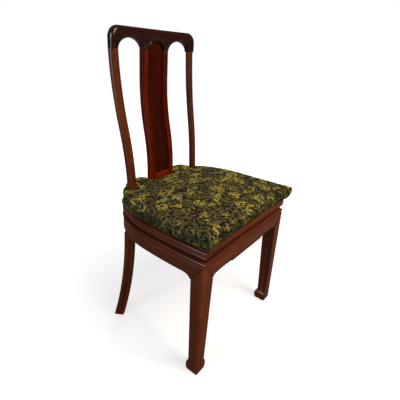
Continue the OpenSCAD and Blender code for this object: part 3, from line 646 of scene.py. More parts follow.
def waist_section(seat):
    """Section of the recessed waist."""
    back = -seat.apron_in - seat.apron_t
    low, high = WAIST_LOW + JOINT_GAP, RAIL_LOW - JOINT_GAP
    return [Vector(p) for p in (
        (back, low), (back, high), (-seat.waist_in, high), (-seat.waist_in, low))]


def apron_section(seat, low):
    """Section of an apron: a half-round bead over a quirk, and a flat face with an eased edge."""
    r = seat.bead_h / 2
    back = -seat.apron_in - seat.apron_t
    face = -seat.apron_in
    proud, quirk = 0.5 * MM, 1.6 * MM
    middle = Vector((proud - r, WAIST_LOW - r))
    bead = [middle + r * aim(radians(a)) for a in range(90, -76, -11)]
    quirk_z = WAIST_LOW - seat.bead_h
    lower = [(face - quirk, quirk_z + 0.6 * MM), (face - 1.3 * MM, quirk_z - 0.4 * MM),
             (face - 0.3 * MM, quirk_z - 1.0 * MM), (face, quirk_z - quirk)]
    low = min(low, quirk_z - 2.0 * MM)
    ease = min(seat.ease, (quirk_z - quirk - low) * 0.5)
    eased = [(face - ease + ease * cos(a), low + ease - ease * sin(a))
             for a in (0, pi / 6, pi / 3, pi / 2)]
    return [Vector((back, low)), Vector((back, WAIST_LOW)), *bead,
            *[Vector(p) for p in lower + eased]]


def front_low(plan, legs, x):
    """Height of the front apron's lower edge at a distance from the middle: straight, a cusp, a
    shallow arch, a rounded spandrel, then the mitre up to the corner."""
    seat = plan.seat
    edge_z = SIDE_APRON_LOW - seat.apron_rise
    high_z = edge_z + seat.arch_rise
    bead_z = WAIST_LOW - seat.bead_h
    leg_in = LEG_X - legs.leg_w
    arch_x = leg_in - seat.spandrel_l
    step_z = edge_z + 0.75 * seat.arch_rise
    bulge = 3 * MM
    if x < seat.cusp_x - seat.cusp_l:
        return edge_z
    if x < seat.cusp_x:
        return edge_z + (step_z - edge_z) * (1 - (seat.cusp_x - x) / seat.cusp_l)
    if x < arch_x:
        t = (x - seat.cusp_x) / (arch_x - seat.cusp_x)
        return (1 - t) ** 2 * step_z + 2 * t * (1 - t) * (high_z + bulge) + t * t * high_z
    if x < leg_in:
        t = (x - arch_x) / seat.spandrel_l
        return SPANDREL_LOW + (high_z - SPANDREL_LOW) * sqrt(max(0.0, 1 - t ** 3))
    return SPANDREL_LOW + (bead_z - SPANDREL_LOW) * min(1.0, (x - leg_in) / legs.leg_w)


def side_low(plan, legs, y):
    """Height of a side apron's lower edge at a depth: the mitre, the spandrel, then straight."""
    seat = plan.seat
    bead_z = WAIST_LOW - seat.bead_h
    if y < legs.leg_w:
        return bead_z - (bead_z - SPANDREL_LOW) * max(0.0, y) / legs.leg_w
    t = 1 - min(1.0, (y - legs.leg_w) / seat.spandrel_l)
    return SPANDREL_LOW + (SIDE_APRON_LOW - SPANDREL_LOW) * sqrt(1 - t * t)


class ChairSeatFrame(bpy.types.Operator):
    """Make the four seat rails, the waist and the aprons"""
    bl_idname = "chair.seat_frame"
    bl_label = "Seat frame"

    def execute(self, context):
        settings = context.scene.side_chair
        seat, legs = settings.seat, settings.legs
        plan = SeatPlan(seat)
        rail, waist = rail_section(seat), waist_section(seat)
        plain = apron_section(seat, SIDE_APRON_LOW)
        # Each ring's nodes, pieces, tone and first seed, the joint of its side and rear pieces, the
        # sections of its front, sides and rear, and the steps of its front and sides
        rings = (
            ("seat_rail", "rail", "rosewood", 1, seat.rail_joint_turn,
             [lambda place: rail] * 3, (FRONT_STEP, SIDE_STEP)),
            ("waist", "waist_strip", "dark_rosewood", 3, legs.rear_turn,
             [lambda place: waist] * 3, (FRONT_STEP, SIDE_STEP)),
            ("apron", "apron_board", "rosewood", 5, legs.rear_turn,
             [lambda x: apron_section(seat, front_low(plan, legs, x)),
              lambda y: apron_section(seat, side_low(plan, legs, y)),
              lambda y: plain], (SHAPED_FRONT_STEP, SHAPED_SIDE_STEP)),
        )
        for places in (("front", "rear"), ("left",), ("right",)):
            for ring in rings:
                for place in places:
                    self.moulding(settings, plan, place, *ring)
        return {"FINISHED"}

    def moulding(self, settings, plan, place, node, name, kind, seed, joint, sections, steps):
        """The piece at one place of a ring round the seat."""
        front, side, rear = sections
        gap = JOINT_GAP / plan.seat.hip_r
        if place == "front":
            shape = straight(plan, front, steps[0])
        elif place == "rear":
            shape = swept(plan, rear, joint + gap, pi - joint - gap)
        else:
            shape = swept(plan, side, None, joint, SIDES[place], steps[1])
        mesh = chair_mesh(f"{node}_{place}", *shape)
        own_seed = seed + {"front": 0, "rear": 1, "left": 6, "right": 7}[place]
        wooden_piece(settings, mesh, f"{name}_{place}", kind, own_seed, f"{node}_{place}")


# Legs


def eased_copy(node, width, is_kept):
    """Mesh of a CAD node with its doubles merged, flat faces whole and its kept edges rounded,
    with the grain running up it."""
    apart, flat, sharp = 0.01 * MM, radians(0.5), radians(28)
    made = bmesh.new()
    made.from_mesh(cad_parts[node].data)
    bmesh.ops.remove_doubles(made, verts=made.verts, dist=apart)
    bmesh.ops.dissolve_limit(made, angle_limit=flat, verts=made.verts, edges=made.edges)
    edges = [e for e in made.edges if len(e.link_faces) == 2
             and e.calc_face_angle(0) > sharp and is_kept(e)]
    bmesh.ops.bevel(made, geom=edges, offset=width, segments=3, profile=0.5, affect="EDGES",
                    clamp_overlap=True)
    bmesh.ops.recalc_face_normals(made, faces=made.faces)
    mesh = bpy.data.meshes.new(node)
    made.to_mesh(mesh)
    made.free()
    store_grain(mesh, [(v.co.z, v.co.x, v.co.y) for v in mesh.vertices])
    return tidy_mesh(mesh, 30)


def upright_grain(section, rings):
    """Places in the wood of an upright piece whose rings hold the points of its section."""
    return [[Vector((q.z, p.x, p.y)) for p, q in zip(section, ring)] for ring in rings]


def rear_leg(plan, legs, side):
    """Closed mesh data of a rear leg: one long bend from the foot up to the apron, then a head
    behind it."""
    seat = plan.seat
    inner_r = seat.hip_r - seat.apron_in - seat.apron_t - JOINT_GAP
    middle = plan.hip_c + (seat.hip_r - seat.apron_in - legs.rear_d / 2 + legs.rear_proud) \
        * aim(legs.rear_turn)
    bend_top = SIDE_APRON_LOW - seat.apron_rise
    bend_r = (bend_top ** 2 + legs.sweep ** 2) / (2 * legs.sweep)
    d, w, r = legs.rear_d / 2, legs.rear_w / 2, legs.rear_r
    section = rounded_corners([(d, -w, r), (d, w, r), (-d, w, r), (-d, -w, r)])
    sweep, across = aim(legs.sweep_dir), aim(legs.sweep_dir + pi / 2)

    def ring(z, clipped=False):
        lean = asin(max(0.0, bend_top - z) / bend_r)
        travel = bend_r * (1 - cos(lean))
        found = []
        for p in section:
            q = middle + sweep * (travel + p.x / cos(lean)) + across * p.y
            if clipped:
                arm = q - plan.hip_c
                q = plan.hip_c + arm * min(1.0, inner_r / arm.length)
            found.append(Vector((side * q.x, q.y, z)))
        return found

    shoulder, steps = SIDE_APRON_LOW - JOINT_GAP, 24
    rings = [ring(bend_top * k / steps) for k in range(steps + 1)] + [ring(shoulder)]
    rings += [ring(shoulder, True), ring(RAIL_LOW - JOINT_GAP, True)]
    return loft(rings, upright_grain(section, rings))


class ChairLegs(bpy.types.Operator):
    """Make the front legs with their hoof feet and the sabre-curved rear legs"""
    bl_idname = "chair.legs"
    bl_label = "Legs"

    def execute(self, context):
        settings = context.scene.side_chair
        legs = settings.legs
        plan = SeatPlan(settings.seat)
        sole, shoulder = 0.5 * MM, RAIL_LOW - 1 * MM

        def is_arris(edge):
            """Whether an edge lies off the sole and starts below the shoulder."""
            return sole < min(v.co.z for v in edge.verts) < shoulder

        for i, (name, side) in enumerate(SIDES.items()):
            mesh = eased_copy(f"front_leg_{name}", legs.arris, is_arris)
            wooden_piece(settings, mesh, f"hoof_leg_{name}", "rosewood", 13 + i,
                         f"front_leg_{name}")
            mesh = chair_mesh(f"rear_leg_{name}", *rear_leg(plan, legs, side))
            wooden_piece(settings, mesh, f"sabre_leg_{name}", "rosewood", 15 + i,
                         f"rear_leg_{name}")
        return {"FINISHED"}


# Back


class PostLine:
    """Centre line of a back post: two tangent bends between the seat and the crest rail."""

    def __init__(self, plan, back):
        self.back = back
        seat = plan.seat
        self.foot = plan.corner_c + (seat.corner_r - seat.rail_w / 2) * aim(back.post_turn)
        self.low_r = (back.mid_z - RAIL_HIGH) / (sin(back.mid_lean) - sin(back.foot_lean))
        self.high_r = (CREST_LOW - back.mid_z) / (sin(back.mid_lean) - sin(back.head_lean))
        self.mid_s = self.low_r * (cos(back.foot_lean) - cos(back.mid_lean))
        self.way = aim(pi / 2 - back.post_splay)
        self.head = self.middle(CREST_LOW)

    def lean(self, z):
        """Lean of the post at a height."""
        back = self.back
        if z < back.mid_z:
            return asin(sin(back.foot_lean) + (z - RAIL_HIGH) / self.low_r)
        return asin(sin(back.mid_lean) - (z - back.mid_z) / self.high_r)

    def middle(self, z):
        """Middle of the post in plan at a height."""
        back = self.back
        if z < back.mid_z:
            travel = self.low_r * (cos(back.foot_lean) - cos(self.lean(z)))
        else:
            travel = self.mid_s + self.high_r * (cos(self.lean(z)) - cos(back.mid_lean))
        return self.foot + travel * self.way


class SplatLine:
    """Side view of the splat: upright, two bends, upright."""

    def __init__(self, post):
        back = self.back = post.back
        self.low_r = (back.splat_mid_z - back.splat_low_z) / sin(back.splat_lean)
        self.high_r = (back.splat_high_z - back.splat_mid_z) / sin(back.splat_lean)
        self.sweep = (self.low_r + self.high_r) * (1 - cos(back.splat_lean))
        self.foot_y = crest_middle(post)[0] - self.sweep

    def lean(self, z):
        """Lean of the splat at a height."""
        back = self.back
        if z < back.splat_mid_z:
            return asin(max(0.0, z - back.splat_low_z) / self.low_r)
        return asin(max(0.0, back.splat_high_z - z) / self.high_r)

    def depth(self, z):
        """Depth of the splat's middle at a height."""
        if z < self.back.splat_mid_z:
            return self.foot_y + self.low_r * (1 - cos(self.lean(z)))
        return self.foot_y + self.sweep - self.high_r * (1 - cos(self.lean(z)))


def crest_middle(post):
    """Depth of the crest rail's middle, and the radius of its bow."""
    bow = post.back.crest_bow
    return post.head.y + bow, (post.head.x ** 2 + bow ** 2) / (2 * bow)


# Sums on the inputs alone: the heights of the tenons' middles, and half the oval's widths
POST_SIZES = (
    ("foot tenon", "MULTIPLY_ADD", "Tenon length", -0.5, "Seat height"),
    ("head tenon", "MULTIPLY_ADD", "Tenon length", 0.5, "Crest height"),
    ("half long", "MULTIPLY", "Long width", 0.5),
    ("half short", "MULTIPLY", "Short width", 0.5),
)
# The post's bend as a table of sums: each row is a result, the sum and what goes into it. Below
# the middle height the post leans further back on one radius, and above it comes upright again
# on another, so the smaller of the two sines holds at each height.
POST_SUMS = (
    ("foot sine", "SINE", "Foot lean"),
    ("foot cosine", "COSINE", "Foot lean"),
    ("middle sine", "SINE", "Middle lean"),
    ("middle cosine", "COSINE", "Middle lean"),
    ("head sine", "SINE", "Head lean"),
    ("low height", "SUBTRACT", "Middle height", "Seat height"),
    ("low change", "SUBTRACT", "middle sine", "foot sine"),
    ("low radius", "DIVIDE", "low height", "low change"),
    ("high height", "SUBTRACT", "Crest height", "Middle height"),
    ("high change", "SUBTRACT", "middle sine", "head sine"),
    ("high radius", "DIVIDE", "high height", "high change"),
    ("low rise", "SUBTRACT", "z", "Seat height"),
    ("low turn", "DIVIDE", "low rise", "low radius"),
    ("low sine", "ADD", "foot sine", "low turn"),
    ("low sine kept", "MINIMUM", "low sine", "middle sine"),
    ("low lean", "ARCSINE", "low sine kept"),
    ("low cosine", "COSINE", "low lean"),
    ("high rise", "SUBTRACT", "z", "Middle height"),
    ("high turn", "DIVIDE", "high rise", "high radius"),
    ("high sine", "SUBTRACT", "middle sine", "high turn"),
    ("high sine kept", "MINIMUM", "high sine", "middle sine"),
    ("high lean", "ARCSINE", "high sine kept"),
    ("high cosine", "COSINE", "high lean"),
    ("lower part", "SUBTRACT", "foot cosine", "low cosine"),
    ("lower travel", "MULTIPLY", "lower part", "low radius"),
    ("upper part", "SUBTRACT", "high cosine", "middle cosine"),
    ("travel", "MULTIPLY_ADD", "upper part", "high radius", "lower travel"),
    ("cosine", "MAXIMUM", "low cosine", "high cosine"),
    ("stretch", "DIVIDE", 1.0, "cosine"),
    ("spare", "SUBTRACT", "stretch", 1.0),
    ("way across", "SINE", "Splay"),
    ("way back", "COSINE", "Splay"),
    ("part across", "MULTIPLY", "x", "way across"),
    ("part along", "MULTIPLY_ADD", "y", "way back", "part across"),
    ("shift", "MULTIPLY_ADD", "part along", "spare", "travel"),
    ("moved across", "MULTIPLY_ADD", "shift", "way across", "x"),
    ("moved back", "MULTIPLY_ADD", "shift", "way back", "y"),
    ("place across", "ADD", "moved across", "Foot across"),
    ("new x", "MULTIPLY", "place across", "Side"),
    ("new y", "ADD", "moved back", "Foot depth"),
    ("span", "SUBTRACT", "Crest height", "Seat height"),
    ("length", "SUBTRACT", "span", 2 * JOINT_GAP),
    ("both heights", "ADD", "Crest height", "Seat height"),
    ("half height", "MULTIPLY", "both heights", 0.5),
)
POST_INPUTS = ("Side", "Long width", "Short width", "Turn", "Splay", "Foot across", "Foot depth",
               "Foot lean", "Middle lean", "Head lean", "Seat height", "Middle height",
               "Crest height", "Tenon length")
# Widths of the tenons, as shares of half the oval's own widths
TENON_SHARES = {"foot tenon": (0.96, 0.76), "head tenon": (0.64, 0.76)}


def bent_post_tree():
    """Geometry Nodes tree of a back post: an oval bar with a tenon at each end, bent by height."""
    tree = bpy.data.node_groups.new("bent post", "GeometryNodeTree")
    for name in POST_INPUTS:
        tree.interface.new_socket(name, in_out="INPUT", socket_type="NodeSocketFloat")
    tree.interface.new_socket("Finish", in_out="INPUT", socket_type="NodeSocketMaterial")
    tree.interface.new_socket("Geometry", in_out="OUTPUT", socket_type="NodeSocketGeometry")
    given = add(tree, "NodeGroupInput").outputs
    known = {name: given[name] for name in POST_INPUTS}

    def work_out(sums):
        for name, operation, *parts in sums:
            inputs = {i: known.get(part, part) for i, part in enumerate(parts)}
            known[name] = add(tree, "ShaderNodeMath", inputs, operation=operation)

    work_out(POST_SIZES)
    here = add(tree, "GeometryNodeInputPosition")
    widths = add(tree, "ShaderNodeCombineXYZ", {
        0: known["half long"], 1: known["half short"], 2: 1.0})
    sized = add(tree, "ShaderNodeVectorMath", {0: here, 1: widths}, operation="MULTIPLY")
    turned = add(tree, "ShaderNodeVectorRotate", {
        "Vector": sized, "Angle": known["Turn"]}, rotation_type="Z_AXIS")
    apart = add(tree, "ShaderNodeSeparateXYZ", {0: turned}).outputs
    known.update(x=apart[0], y=apart[1], z=apart[2])
    work_out(POST_SUMS)
    bar = add(tree, "GeometryNodeMeshCylinder", {
        "Vertices": 32, "Side Segments": 44, "Radius": 1.0, "Depth": known["length"]})
    parts = {"half height": bar}
    for name, (long_share, short_share) in TENON_SHARES.items():
        size = add(tree, "ShaderNodeCombineXYZ", {
            0: long_share, 1: short_share, 2: known["Tenon length"]})
        parts[name] = add(tree, "GeometryNodeMeshCube", {"Size": size})
    joined = add(tree, "GeometryNodeJoinGeometry")
    for height, mesh in parts.items():
        up = add(tree, "ShaderNodeCombineXYZ", {2: known[height]})
        moved = add(tree, "GeometryNodeTransform", {"Geometry": mesh, "Translation": up})
        feed(tree, joined, {0: moved})
    grain = add(tree, "ShaderNodeCombineXYZ", {0: known["z"], 1: known["x"], 2: known["y"]})
    kept = add(tree, "GeometryNodeStoreNamedAttribute", {
        "Geometry": joined, "Name": "grain", "Value": grain},
        data_type="FLOAT_VECTOR", domain="POINT")
    place = add(tree, "ShaderNodeCombineXYZ", {
        0: known["new x"], 1: known["new y"], 2: known["z"]})
    bent = add(tree, "GeometryNodeSetPosition", {"Geometry": kept, "Position": place})
    real = add(tree, "GeometryNodeRealizeInstances", {0: bent})
    dressed = add(tree, "GeometryNodeSetMaterial", {"Geometry": real, "Material": given["Finish"]})
    add(tree, "NodeGroupOutput", {"Geometry": dressed})
    return tree


class ChairBackPosts(bpy.types.Operator):
    """Make the two oval, twice bent back posts"""
    bl_idname = "chair.back_posts"
    bl_label = "Back posts"

    def execute(self, context):
        settings = context.scene.side_chair
        back = settings.back
        line = PostLine(SeatPlan(settings.seat), back)
        tree = bent_post_tree()
        values = {
            "Long width": back.post_d, "Short width": back.post_w, "Turn": back.post_turn,
            "Splay": back.post_splay, "Foot across": line.foot.x,
            "Foot depth": line.foot.y + FRONT_Y, "Foot lean": back.foot_lean,
            "Middle lean": back.mid_lean, "Head lean": back.head_lean, "Seat height": RAIL_HIGH,
            "Middle height": back.mid_z, "Crest height": CREST_LOW, "Tenon length": 11 * MM,
        }
        for i, (name, side) in enumerate(SIDES.items()):
            finish = wood(settings, "rosewood", 17 + i)
            values.update({"Side": float(side), "Finish": finish})
            target = scene_object("post", bpy.data.meshes.new("post"))
            bend = target.modifiers.new("bend", "NODES")
            bend.node_group = tree
            for item in tree.interface.items_tree:
                if item.in_out == "INPUT":
                    bend[item.identifier] = values[item.name]
            settle(target)
            mesh = tidy_mesh(target.data)
            mesh.name = f"back_post_{name}"
            bpy.data.objects.remove(target)
            piece(mesh, f"bent_post_{name}", "chair", finish, f"back_post_{name}")
        return {"FINISHED"}


def splat_rings(line, section, low, high, count, side=1):
    """Rings of a piece that follows the splat's bends. The section is across and deep."""
    rings = []
    for k in range(count + 1):
        z = low + (high - low) * k / count
        y, stretch = line.depth(z), 1 / cos(line.lean(z))
        rings.append([Vector((side * p.x, y + p.y * stretch, z)) for p in section])
    return rings


def stile_section(back):
    """Section of a splat stile: rounded outer edges, a thin bead along the inner edge, and a
    groove for the panel."""
    d = back.stile_t / 2
    outer, inner = back.splat_w / 2, back.splat_w / 2 - back.stile_w
    half_groove, deep = back.panel_t / 2 + JOINT_GAP, inner + GROOVE
    bead, bead_r, quirk = 3.2 * MM, 1.3 * MM, 0.9 * MM
    bead_top = d - 1.5 * MM
    face = []
    for s in (-1, 1):
        side = [
            (inner, s * half_groove, 0), (inner, s * bead_top, bead_r),
            (inner + bead, s * bead_top, bead_r),
            (inner + bead + quirk, s * (d - quirk), 0.3 * MM),
            (inner + bead + 2 * quirk, s * d, 0.6 * MM),
            (outer, s * d, back.stile_r),
        ]
        face += side if s < 0 else side[::-1]
    return rounded_corners([(deep, -half_groove, 0)] + face + [(deep, half_groove, 0)], 4)


def splat_rail_section(back):
    """Section of the splat's bottom rail: a thin bead along both upper edges, sloping shoulders
    and a groove for the panel."""
    low, top = RAIL_HIGH + JOINT_GAP, RAIL_HIGH + back.rail_h
    half_groove = back.panel_t / 2 + 2 * JOINT_GAP
    d, rim = back.stile_t / 2 - 1 * MM, top + 2 * MM
    half = [
        (d, low, 0.5 * MM), (d, top - 7 * MM, 0.8 * MM),
        (d - 1.4 * MM, top - 6 * MM, 0.3 * MM), (d - 0.6 * MM, top - 5 * MM, 0.6 * MM),
        (half_groove + 1.2 * MM, rim, 1 * MM), (half_groove, rim, 0),
        (half_groove, top - GROOVE, 0),
    ]
    other = [(-y, z, r) for y, z, r in half]
    return rounded_corners(other[:1] + half + other[:0:-1], 3)


class ChairSplat(bpy.types.Operator):
    """Make the splat's stiles, bottom rail and thin bent panel"""
    bl_idname = "chair.splat"
    bl_label = "Splat"

    def execute(self, context):
        settings = context.scene.side_chair
        back = settings.back
        line = SplatLine(PostLine(SeatPlan(settings.seat), back))
        section = stile_section(back)
        low, high = RAIL_HIGH + JOINT_GAP, CREST_LOW - JOINT_GAP
        count = ceil((high - low) / SIDE_STEP)
        for i, (name, side) in enumerate(SIDES.items()):
            rings = splat_rings(line, section, low, high, count, side)
            mesh = chair_mesh(f"stile_{name}", *loft(rings, upright_grain(section, rings)), 50)
            wooden_piece(settings, mesh, f"splat_side_{name}", "red_rosewood", 19 + i,
                         f"splat_stile_{name}")
        inner = back.splat_w / 2 - back.stile_w
        rings = [[Vector((x, line.foot_y + p.x, p.y)) for p in splat_rail_section(back)]
                 for x in (-inner + JOINT_GAP, inner - JOINT_GAP)]
        mesh = chair_mesh("splat_rail", *loft(rings, rings), 30)
        wooden_piece(settings, mesh, "splat_rail_low", "red_rosewood", 21, "splat_bottom_rail")
        self.panel(settings, line, inner)
        return {"FINISHED"}

    def panel(self, settings, line, inner):
        """The panel: a grid bent with the splat, with eased edges and an arched head."""
        back = settings.back
        tongue = GROOVE - JOINT_GAP
        half, rise = inner + tongue, back.panel_arch_h + tongue
        foot = RAIL_HIGH + back.rail_h - tongue
        t, eased = back.panel_t / 2, 1 * MM
        section = rounded_corners([(half, -t, eased), (half, t, eased), (-half, t, eased),
                                   (-half, -t, eased)], 2)
        rings = splat_rings(line, section, foot, CREST_LOW, 52)
        for a in range(8, 89, 8):
            z = CREST_LOW + rise * sin(radians(a))
            y = line.depth(z)
            rings.append([Vector((p.x * cos(radians(a)), y + p.y, z)) for p in section])
        places = [[Vector((q.z, q.x, p.y)) for p, q in zip(section, row)] for row in rings]
        mesh = chair_mesh("splat_panel", *loft(rings, places))
        piece(mesh, "splat_board", "chair",
              wood(settings, "red_rosewood", 22, tone=0.38), "splat_panel")


def crest_outline(back, post_x):
    """Front view of the crest rail, from the right foot over the top, down to the left foot and
    back along the three arches. Each point comes with the way in from it and its edge's profile,
    as steps inwards and forwards from the rail's middle."""
    t = back.crest_t / 2

    def rounded(r):
        return [(r * (1 - cos(radians(a))), t - r + r * sin(radians(a))) for a in range(0, 91, 15)]

    beaded = [(x * MM, t - y * MM) for x, y in (
        (0, 3.6), (0.5, 1.4), (2.0, 0.4), (3.8, 0.9), (4.8, 2.6), (5.9, 0.8), (7.2, 0))]
    ear_x, ear_z = CREST_HALF - back.ear_w, CREST_HIGH - back.ear_h
    ends = [(CREST_HALF, CREST_LOW, 1, 0)]
    for a in range(0, 91, 6):
        c, s = cos(radians(a)), sin(radians(a))
        ends.append((ear_x + back.ear_w * c, ear_z + back.ear_h * s,
                     c / back.ear_w, s / back.ear_h))
    ends += [(-x, z, -i, k) for x, z, i, k in ends[::-1]]
    points = [(x, z, Vector((-i, -k)).normalized(), rounded(back.rim_r)) for x, z, i, k in ends]
    stile, panel = back.splat_w / 2, back.splat_w / 2 - back.stile_w
    post = post_x - back.post_d / 2
    at_post, at_stile = 10 * MM, back.stile_r
    for first, last, high, edges in (
            (-post, -stile, back.arch_h, (at_post, at_stile)),
            (-panel, panel, back.panel_arch_h, None),
            (stile, post, back.arch_h, (at_stile, at_post))):
        middle, half = (first + last) / 2, (last - first) / 2
        for a in range(0, 181, 6):
            c, s = cos(radians(a)), sin(radians(a))
            edge = beaded
            if edges:
                edge = rounded(edges[0] + (edges[1] - edges[0]) * a / 180)
            points.append((middle - half * c, CREST_LOW + high * s,
                           Vector((-c / half, s / high)).normalized(), edge))
    return points


class ChairCrestRail(bpy.types.Operator):
    """Make the bowed crest rail with its three arches"""
    bl_idname = "chair.crest_rail"
    bl_label = "Crest rail"

    def execute(self, context):
        settings = context.scene.side_chair
        back = settings.back
        post = PostLine(SeatPlan(settings.seat), back)
        middle_y, bow_r = crest_middle(post)
        outline = crest_outline(back, post.head.x)
        rings = []
        for side in (-1, 1):
            rows = [[Vector((x + way.x * edge[k][0], side * edge[k][1], z + way.y * edge[k][0]))
                     for x, z, way, edge in outline] for k in range(len(outline[0][3]))]
            rings += rows[::-1] if side < 0 else rows
        points, faces, _ = loft(rings, rings)
        mesh = bpy.data.meshes.new("crest_rail")
        mesh.from_pydata(points, [], faces)
        made = bmesh.new()
        made.from_mesh(mesh)
        # Upright and level cuts, so that the flat faces can bend
        across, up = 9.7 * MM, 7 * MM
        cuts = [((k * across, 0, 0), (1, 0, 0)) for k in range(-20, 21)]
        cuts += [((0, 0, CREST_LOW + k * up), (0, 0, 1)) for k in range(1, 4)]
        for place, facing in cuts:
            bmesh.ops.bisect_plane(made, geom=made.verts[:] + made.edges[:] + made.faces[:],
                                   plane_co=place, plane_no=facing, dist=1e-6)
        bmesh.ops.recalc_face_normals(made, faces=made.faces)
        places = [v.co.copy() for v in made.verts]
        # The rail is thinner at its feet, over the splat and over the posts, than higher up
        splat_foot, post_foot = back.stile_t / back.crest_t, back.crest_foot_t / back.crest_t
        splat_end, taper_h = 80 * MM, 24 * MM
        for v in made.verts:
            foot = splat_foot if abs(v.co.x) < splat_end else post_foot
            rise = share(v.co.z - CREST_LOW, 0, taper_h)
            thick = foot + (1 - foot) * rise * rise * (3 - 2 * rise)
            bow = bow_r - sqrt(bow_r ** 2 - v.co.x ** 2)
            v.co.y = middle_y - bow + v.co.y * thick + FRONT_Y
        made.to_mesh(mesh)
        made.free()
        store_grain(mesh, places)
        mesh.shade_smooth()
        mesh.set_sharp_from_angle(angle=radians(50))
        wooden_piece(settings, mesh, "crest", "dark_rosewood", 23, "crest_rail", coat=0.9)
        return {"FINISHED"}


class ChairHiddenWood(bpy.types.Operator):
    """Finish the seat panel and the batten under it, and the foam in the cushion"""
    bl_idname = "chair.hidden_wood"
    bl_label = "Seat panel, batten and foam"

    def execute(self, context):
        settings = context.scene.side_chair
        finishes = {
            "seat_panel": wood(settings, "red_rosewood", 24, "x"),
            "seat_batten": wood(settings, "red_rosewood", 25, "y"),
            "cushion_foam": open_cell_foam(),
        }
        for node, finish in finishes.items():
            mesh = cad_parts[node].data
            mesh.materials.clear()
            mesh.materials.append(finish)
        return {"FINISHED"}


# Cushion


def cushion_outline(plan, sizes, draw, off):
    """Half outline of the cushion from the middle front to the middle back. draw is the share of
    the whole draw-in, and off is a further step outwards."""
    seat = plan.seat

    def out(turn):
        back_share = share(turn, seat.side_turn, sizes.ear_turn)
        ear_share = share(turn, seat.side_turn, seat.hip_turn)
        return (sizes.side_over - draw * sizes.draw_in
                - (sizes.side_over + sizes.rear_under) * back_share
                + draw * (sizes.draw_in + sizes.ear_spread) * ear_share + off)

    front_y = -sizes.front_over + draw * sizes.draw_in - off
    start = plan.depth_turn(front_y, out(0))
    tip = plan.edge(start, out(start))
    count = ceil(SEAT_HALF / (12 * MM))
    points = [Vector((tip.x * i / count, tip.y)) for i in range(count)]
    turns = [start]
    for last, n in ((seat.side_turn, 30), (seat.hip_turn, 16), (seat.corner_turn, 12),
                    (pi / 2, 12)):
        first = turns[-1]
        turns += [first + (last - first) * (i + 1) / n for i in range(n)]
    return points + [plan.edge(turn, out(turn)) for turn in turns]


def cushion_levels(sizes):
    """The cushion's rings: draw, step outwards, height, and the share kept about the crown."""
    seam, crown = sizes.seam_h, sizes.crown_h
    top_in = 8 * MM
    levels = [(1, -3 * MM, 0, 1), (1, 0, 0.04 * seam, 1), (0.5, 0, 0.18 * seam, 1),
              (0.18, 0, 0.38 * seam, 1), (0, 0, 0.62 * seam, 1), (0, sizes.bulge, 0.84 * seam, 1),
              (0, 0, seam, 1), (0, -top_in / 2, seam + 0.3 * crown, 1)]
    for kept, height in ((0.94, 0.52), (0.78, 0.75), (0.5, 0.92), (0.22, 1.0)):
        levels.append((0, -top_in, seam + height * crown, kept))
    return levels


def cushion_rings(plan, sizes, swell):
    """Rings of the cushion before it is notched. swell makes it smaller by that much, to leave
    room for the stuffing."""
    middle = Vector((0, sizes.crown_y))
    base_z = RAIL_HIGH + sizes.lift
    rings = []
    for draw, off, height, kept in cushion_levels(sizes):
        half = cushion_outline(plan, sizes, draw, off - swell)
        whole = half + [Vector((-p.x, p.y)) for p in half[-2:0:-1]]
        z = base_z + max(0.0, height - (swell if height > sizes.seam_h else 0))
        rings.append([Vector((*(middle + kept * (p - middle)), z)) for p in whole])
    return rings


def cutter(points, low, high):
    """Mesh of an upright prism over an outline."""
    rings = [[Vector((p[0], p[1], z)) for p in points] for z in (low, high)]
    return chair_mesh("cutter", *loft(rings, rings))


def cut(target, tools):
    """Cuts the tools' meshes out of the target's mesh."""
    for mesh in tools:
        tool = scene_object("cutter", mesh)
        knife = target.modifiers.new("cut", "BOOLEAN")
        knife.operation = "DIFFERENCE"
        knife.solver = "EXACT"
        knife.object = tool
        settle(target)
        bpy.data.objects.remove(tool)
        bpy.data.meshes.remove(mesh)


def stuff(target, sizes):
    """Swells the cloth with air pressure, and keeps each point within the swell of its start."""
    frames = 20
    start = [v.co.copy() for v in target.data.vertices]
    cloth = target.modifiers.new("stuffing", "CLOTH")
    cloth.settings.use_pressure = True
    cloth.settings.uniform_pressure_force = 4
    cloth.settings.effector_weights.gravity = 0
    cloth.settings.quality = 4
    cloth.collision_settings.use_collision = False
    cloth.point_cache.frame_end = frames
    scene = bpy.context.scene
    for number in range(1, frames + 1):
        scene.frame_set(number)
    evaluated = target.evaluated_get(bpy.context.evaluated_depsgraph_get())
    moved = [v.co.copy() for v in evaluated.data.vertices]
    target.modifiers.clear()
    scene.frame_set(1)
    for vertex, here, there in zip(target.data.vertices, start, moved):
        step = there - here
        vertex.co = here + step * min(1.0, sizes.swell / max(step.length, 1e-9))


def seat_well(target, post, sizes, splat_y):
    """Keeps the cloth on the frame, clear of the posts from rest to full lift, and clear of the
    splat, whose face is at depth splat_y."""
    back = post.back
    base = RAIL_HIGH + sizes.lift
    post_gap, splat_gap = 1.6 * MM, 1.5 * MM
    half, notch_y = back.splat_w / 2 + splat_gap, splat_y - splat_gap
    along, across = aim(back.post_turn), aim(back.post_turn + pi / 2)
    long_r, short_r = back.post_d / 2 + post_gap, back.post_w / 2 + post_gap
    for vertex in target.data.vertices:
        p = vertex.co
        p.z = max(p.z, base)
        y = p.y - FRONT_Y
        side = 1 if p.x > 0 else -1
        for raised in (0, FULL_LIFT / 2, FULL_LIFT, 0):
            middle = post.middle(p.z + raised)
            arm = Vector((side * p.x, y)) - middle
            far = Vector((arm.dot(along) / long_r, arm.dot(across) / short_r)).length
            if 0 < far < 1:
                q = middle + arm / far
                p.x, y = side * q.x, q.y
        if abs(p.x) < half and y > notch_y:
            if half - abs(p.x) < y - notch_y:
                p.x = half if p.x > 0 else -half
            else:
                y = notch_y
        p.y = y + FRONT_Y


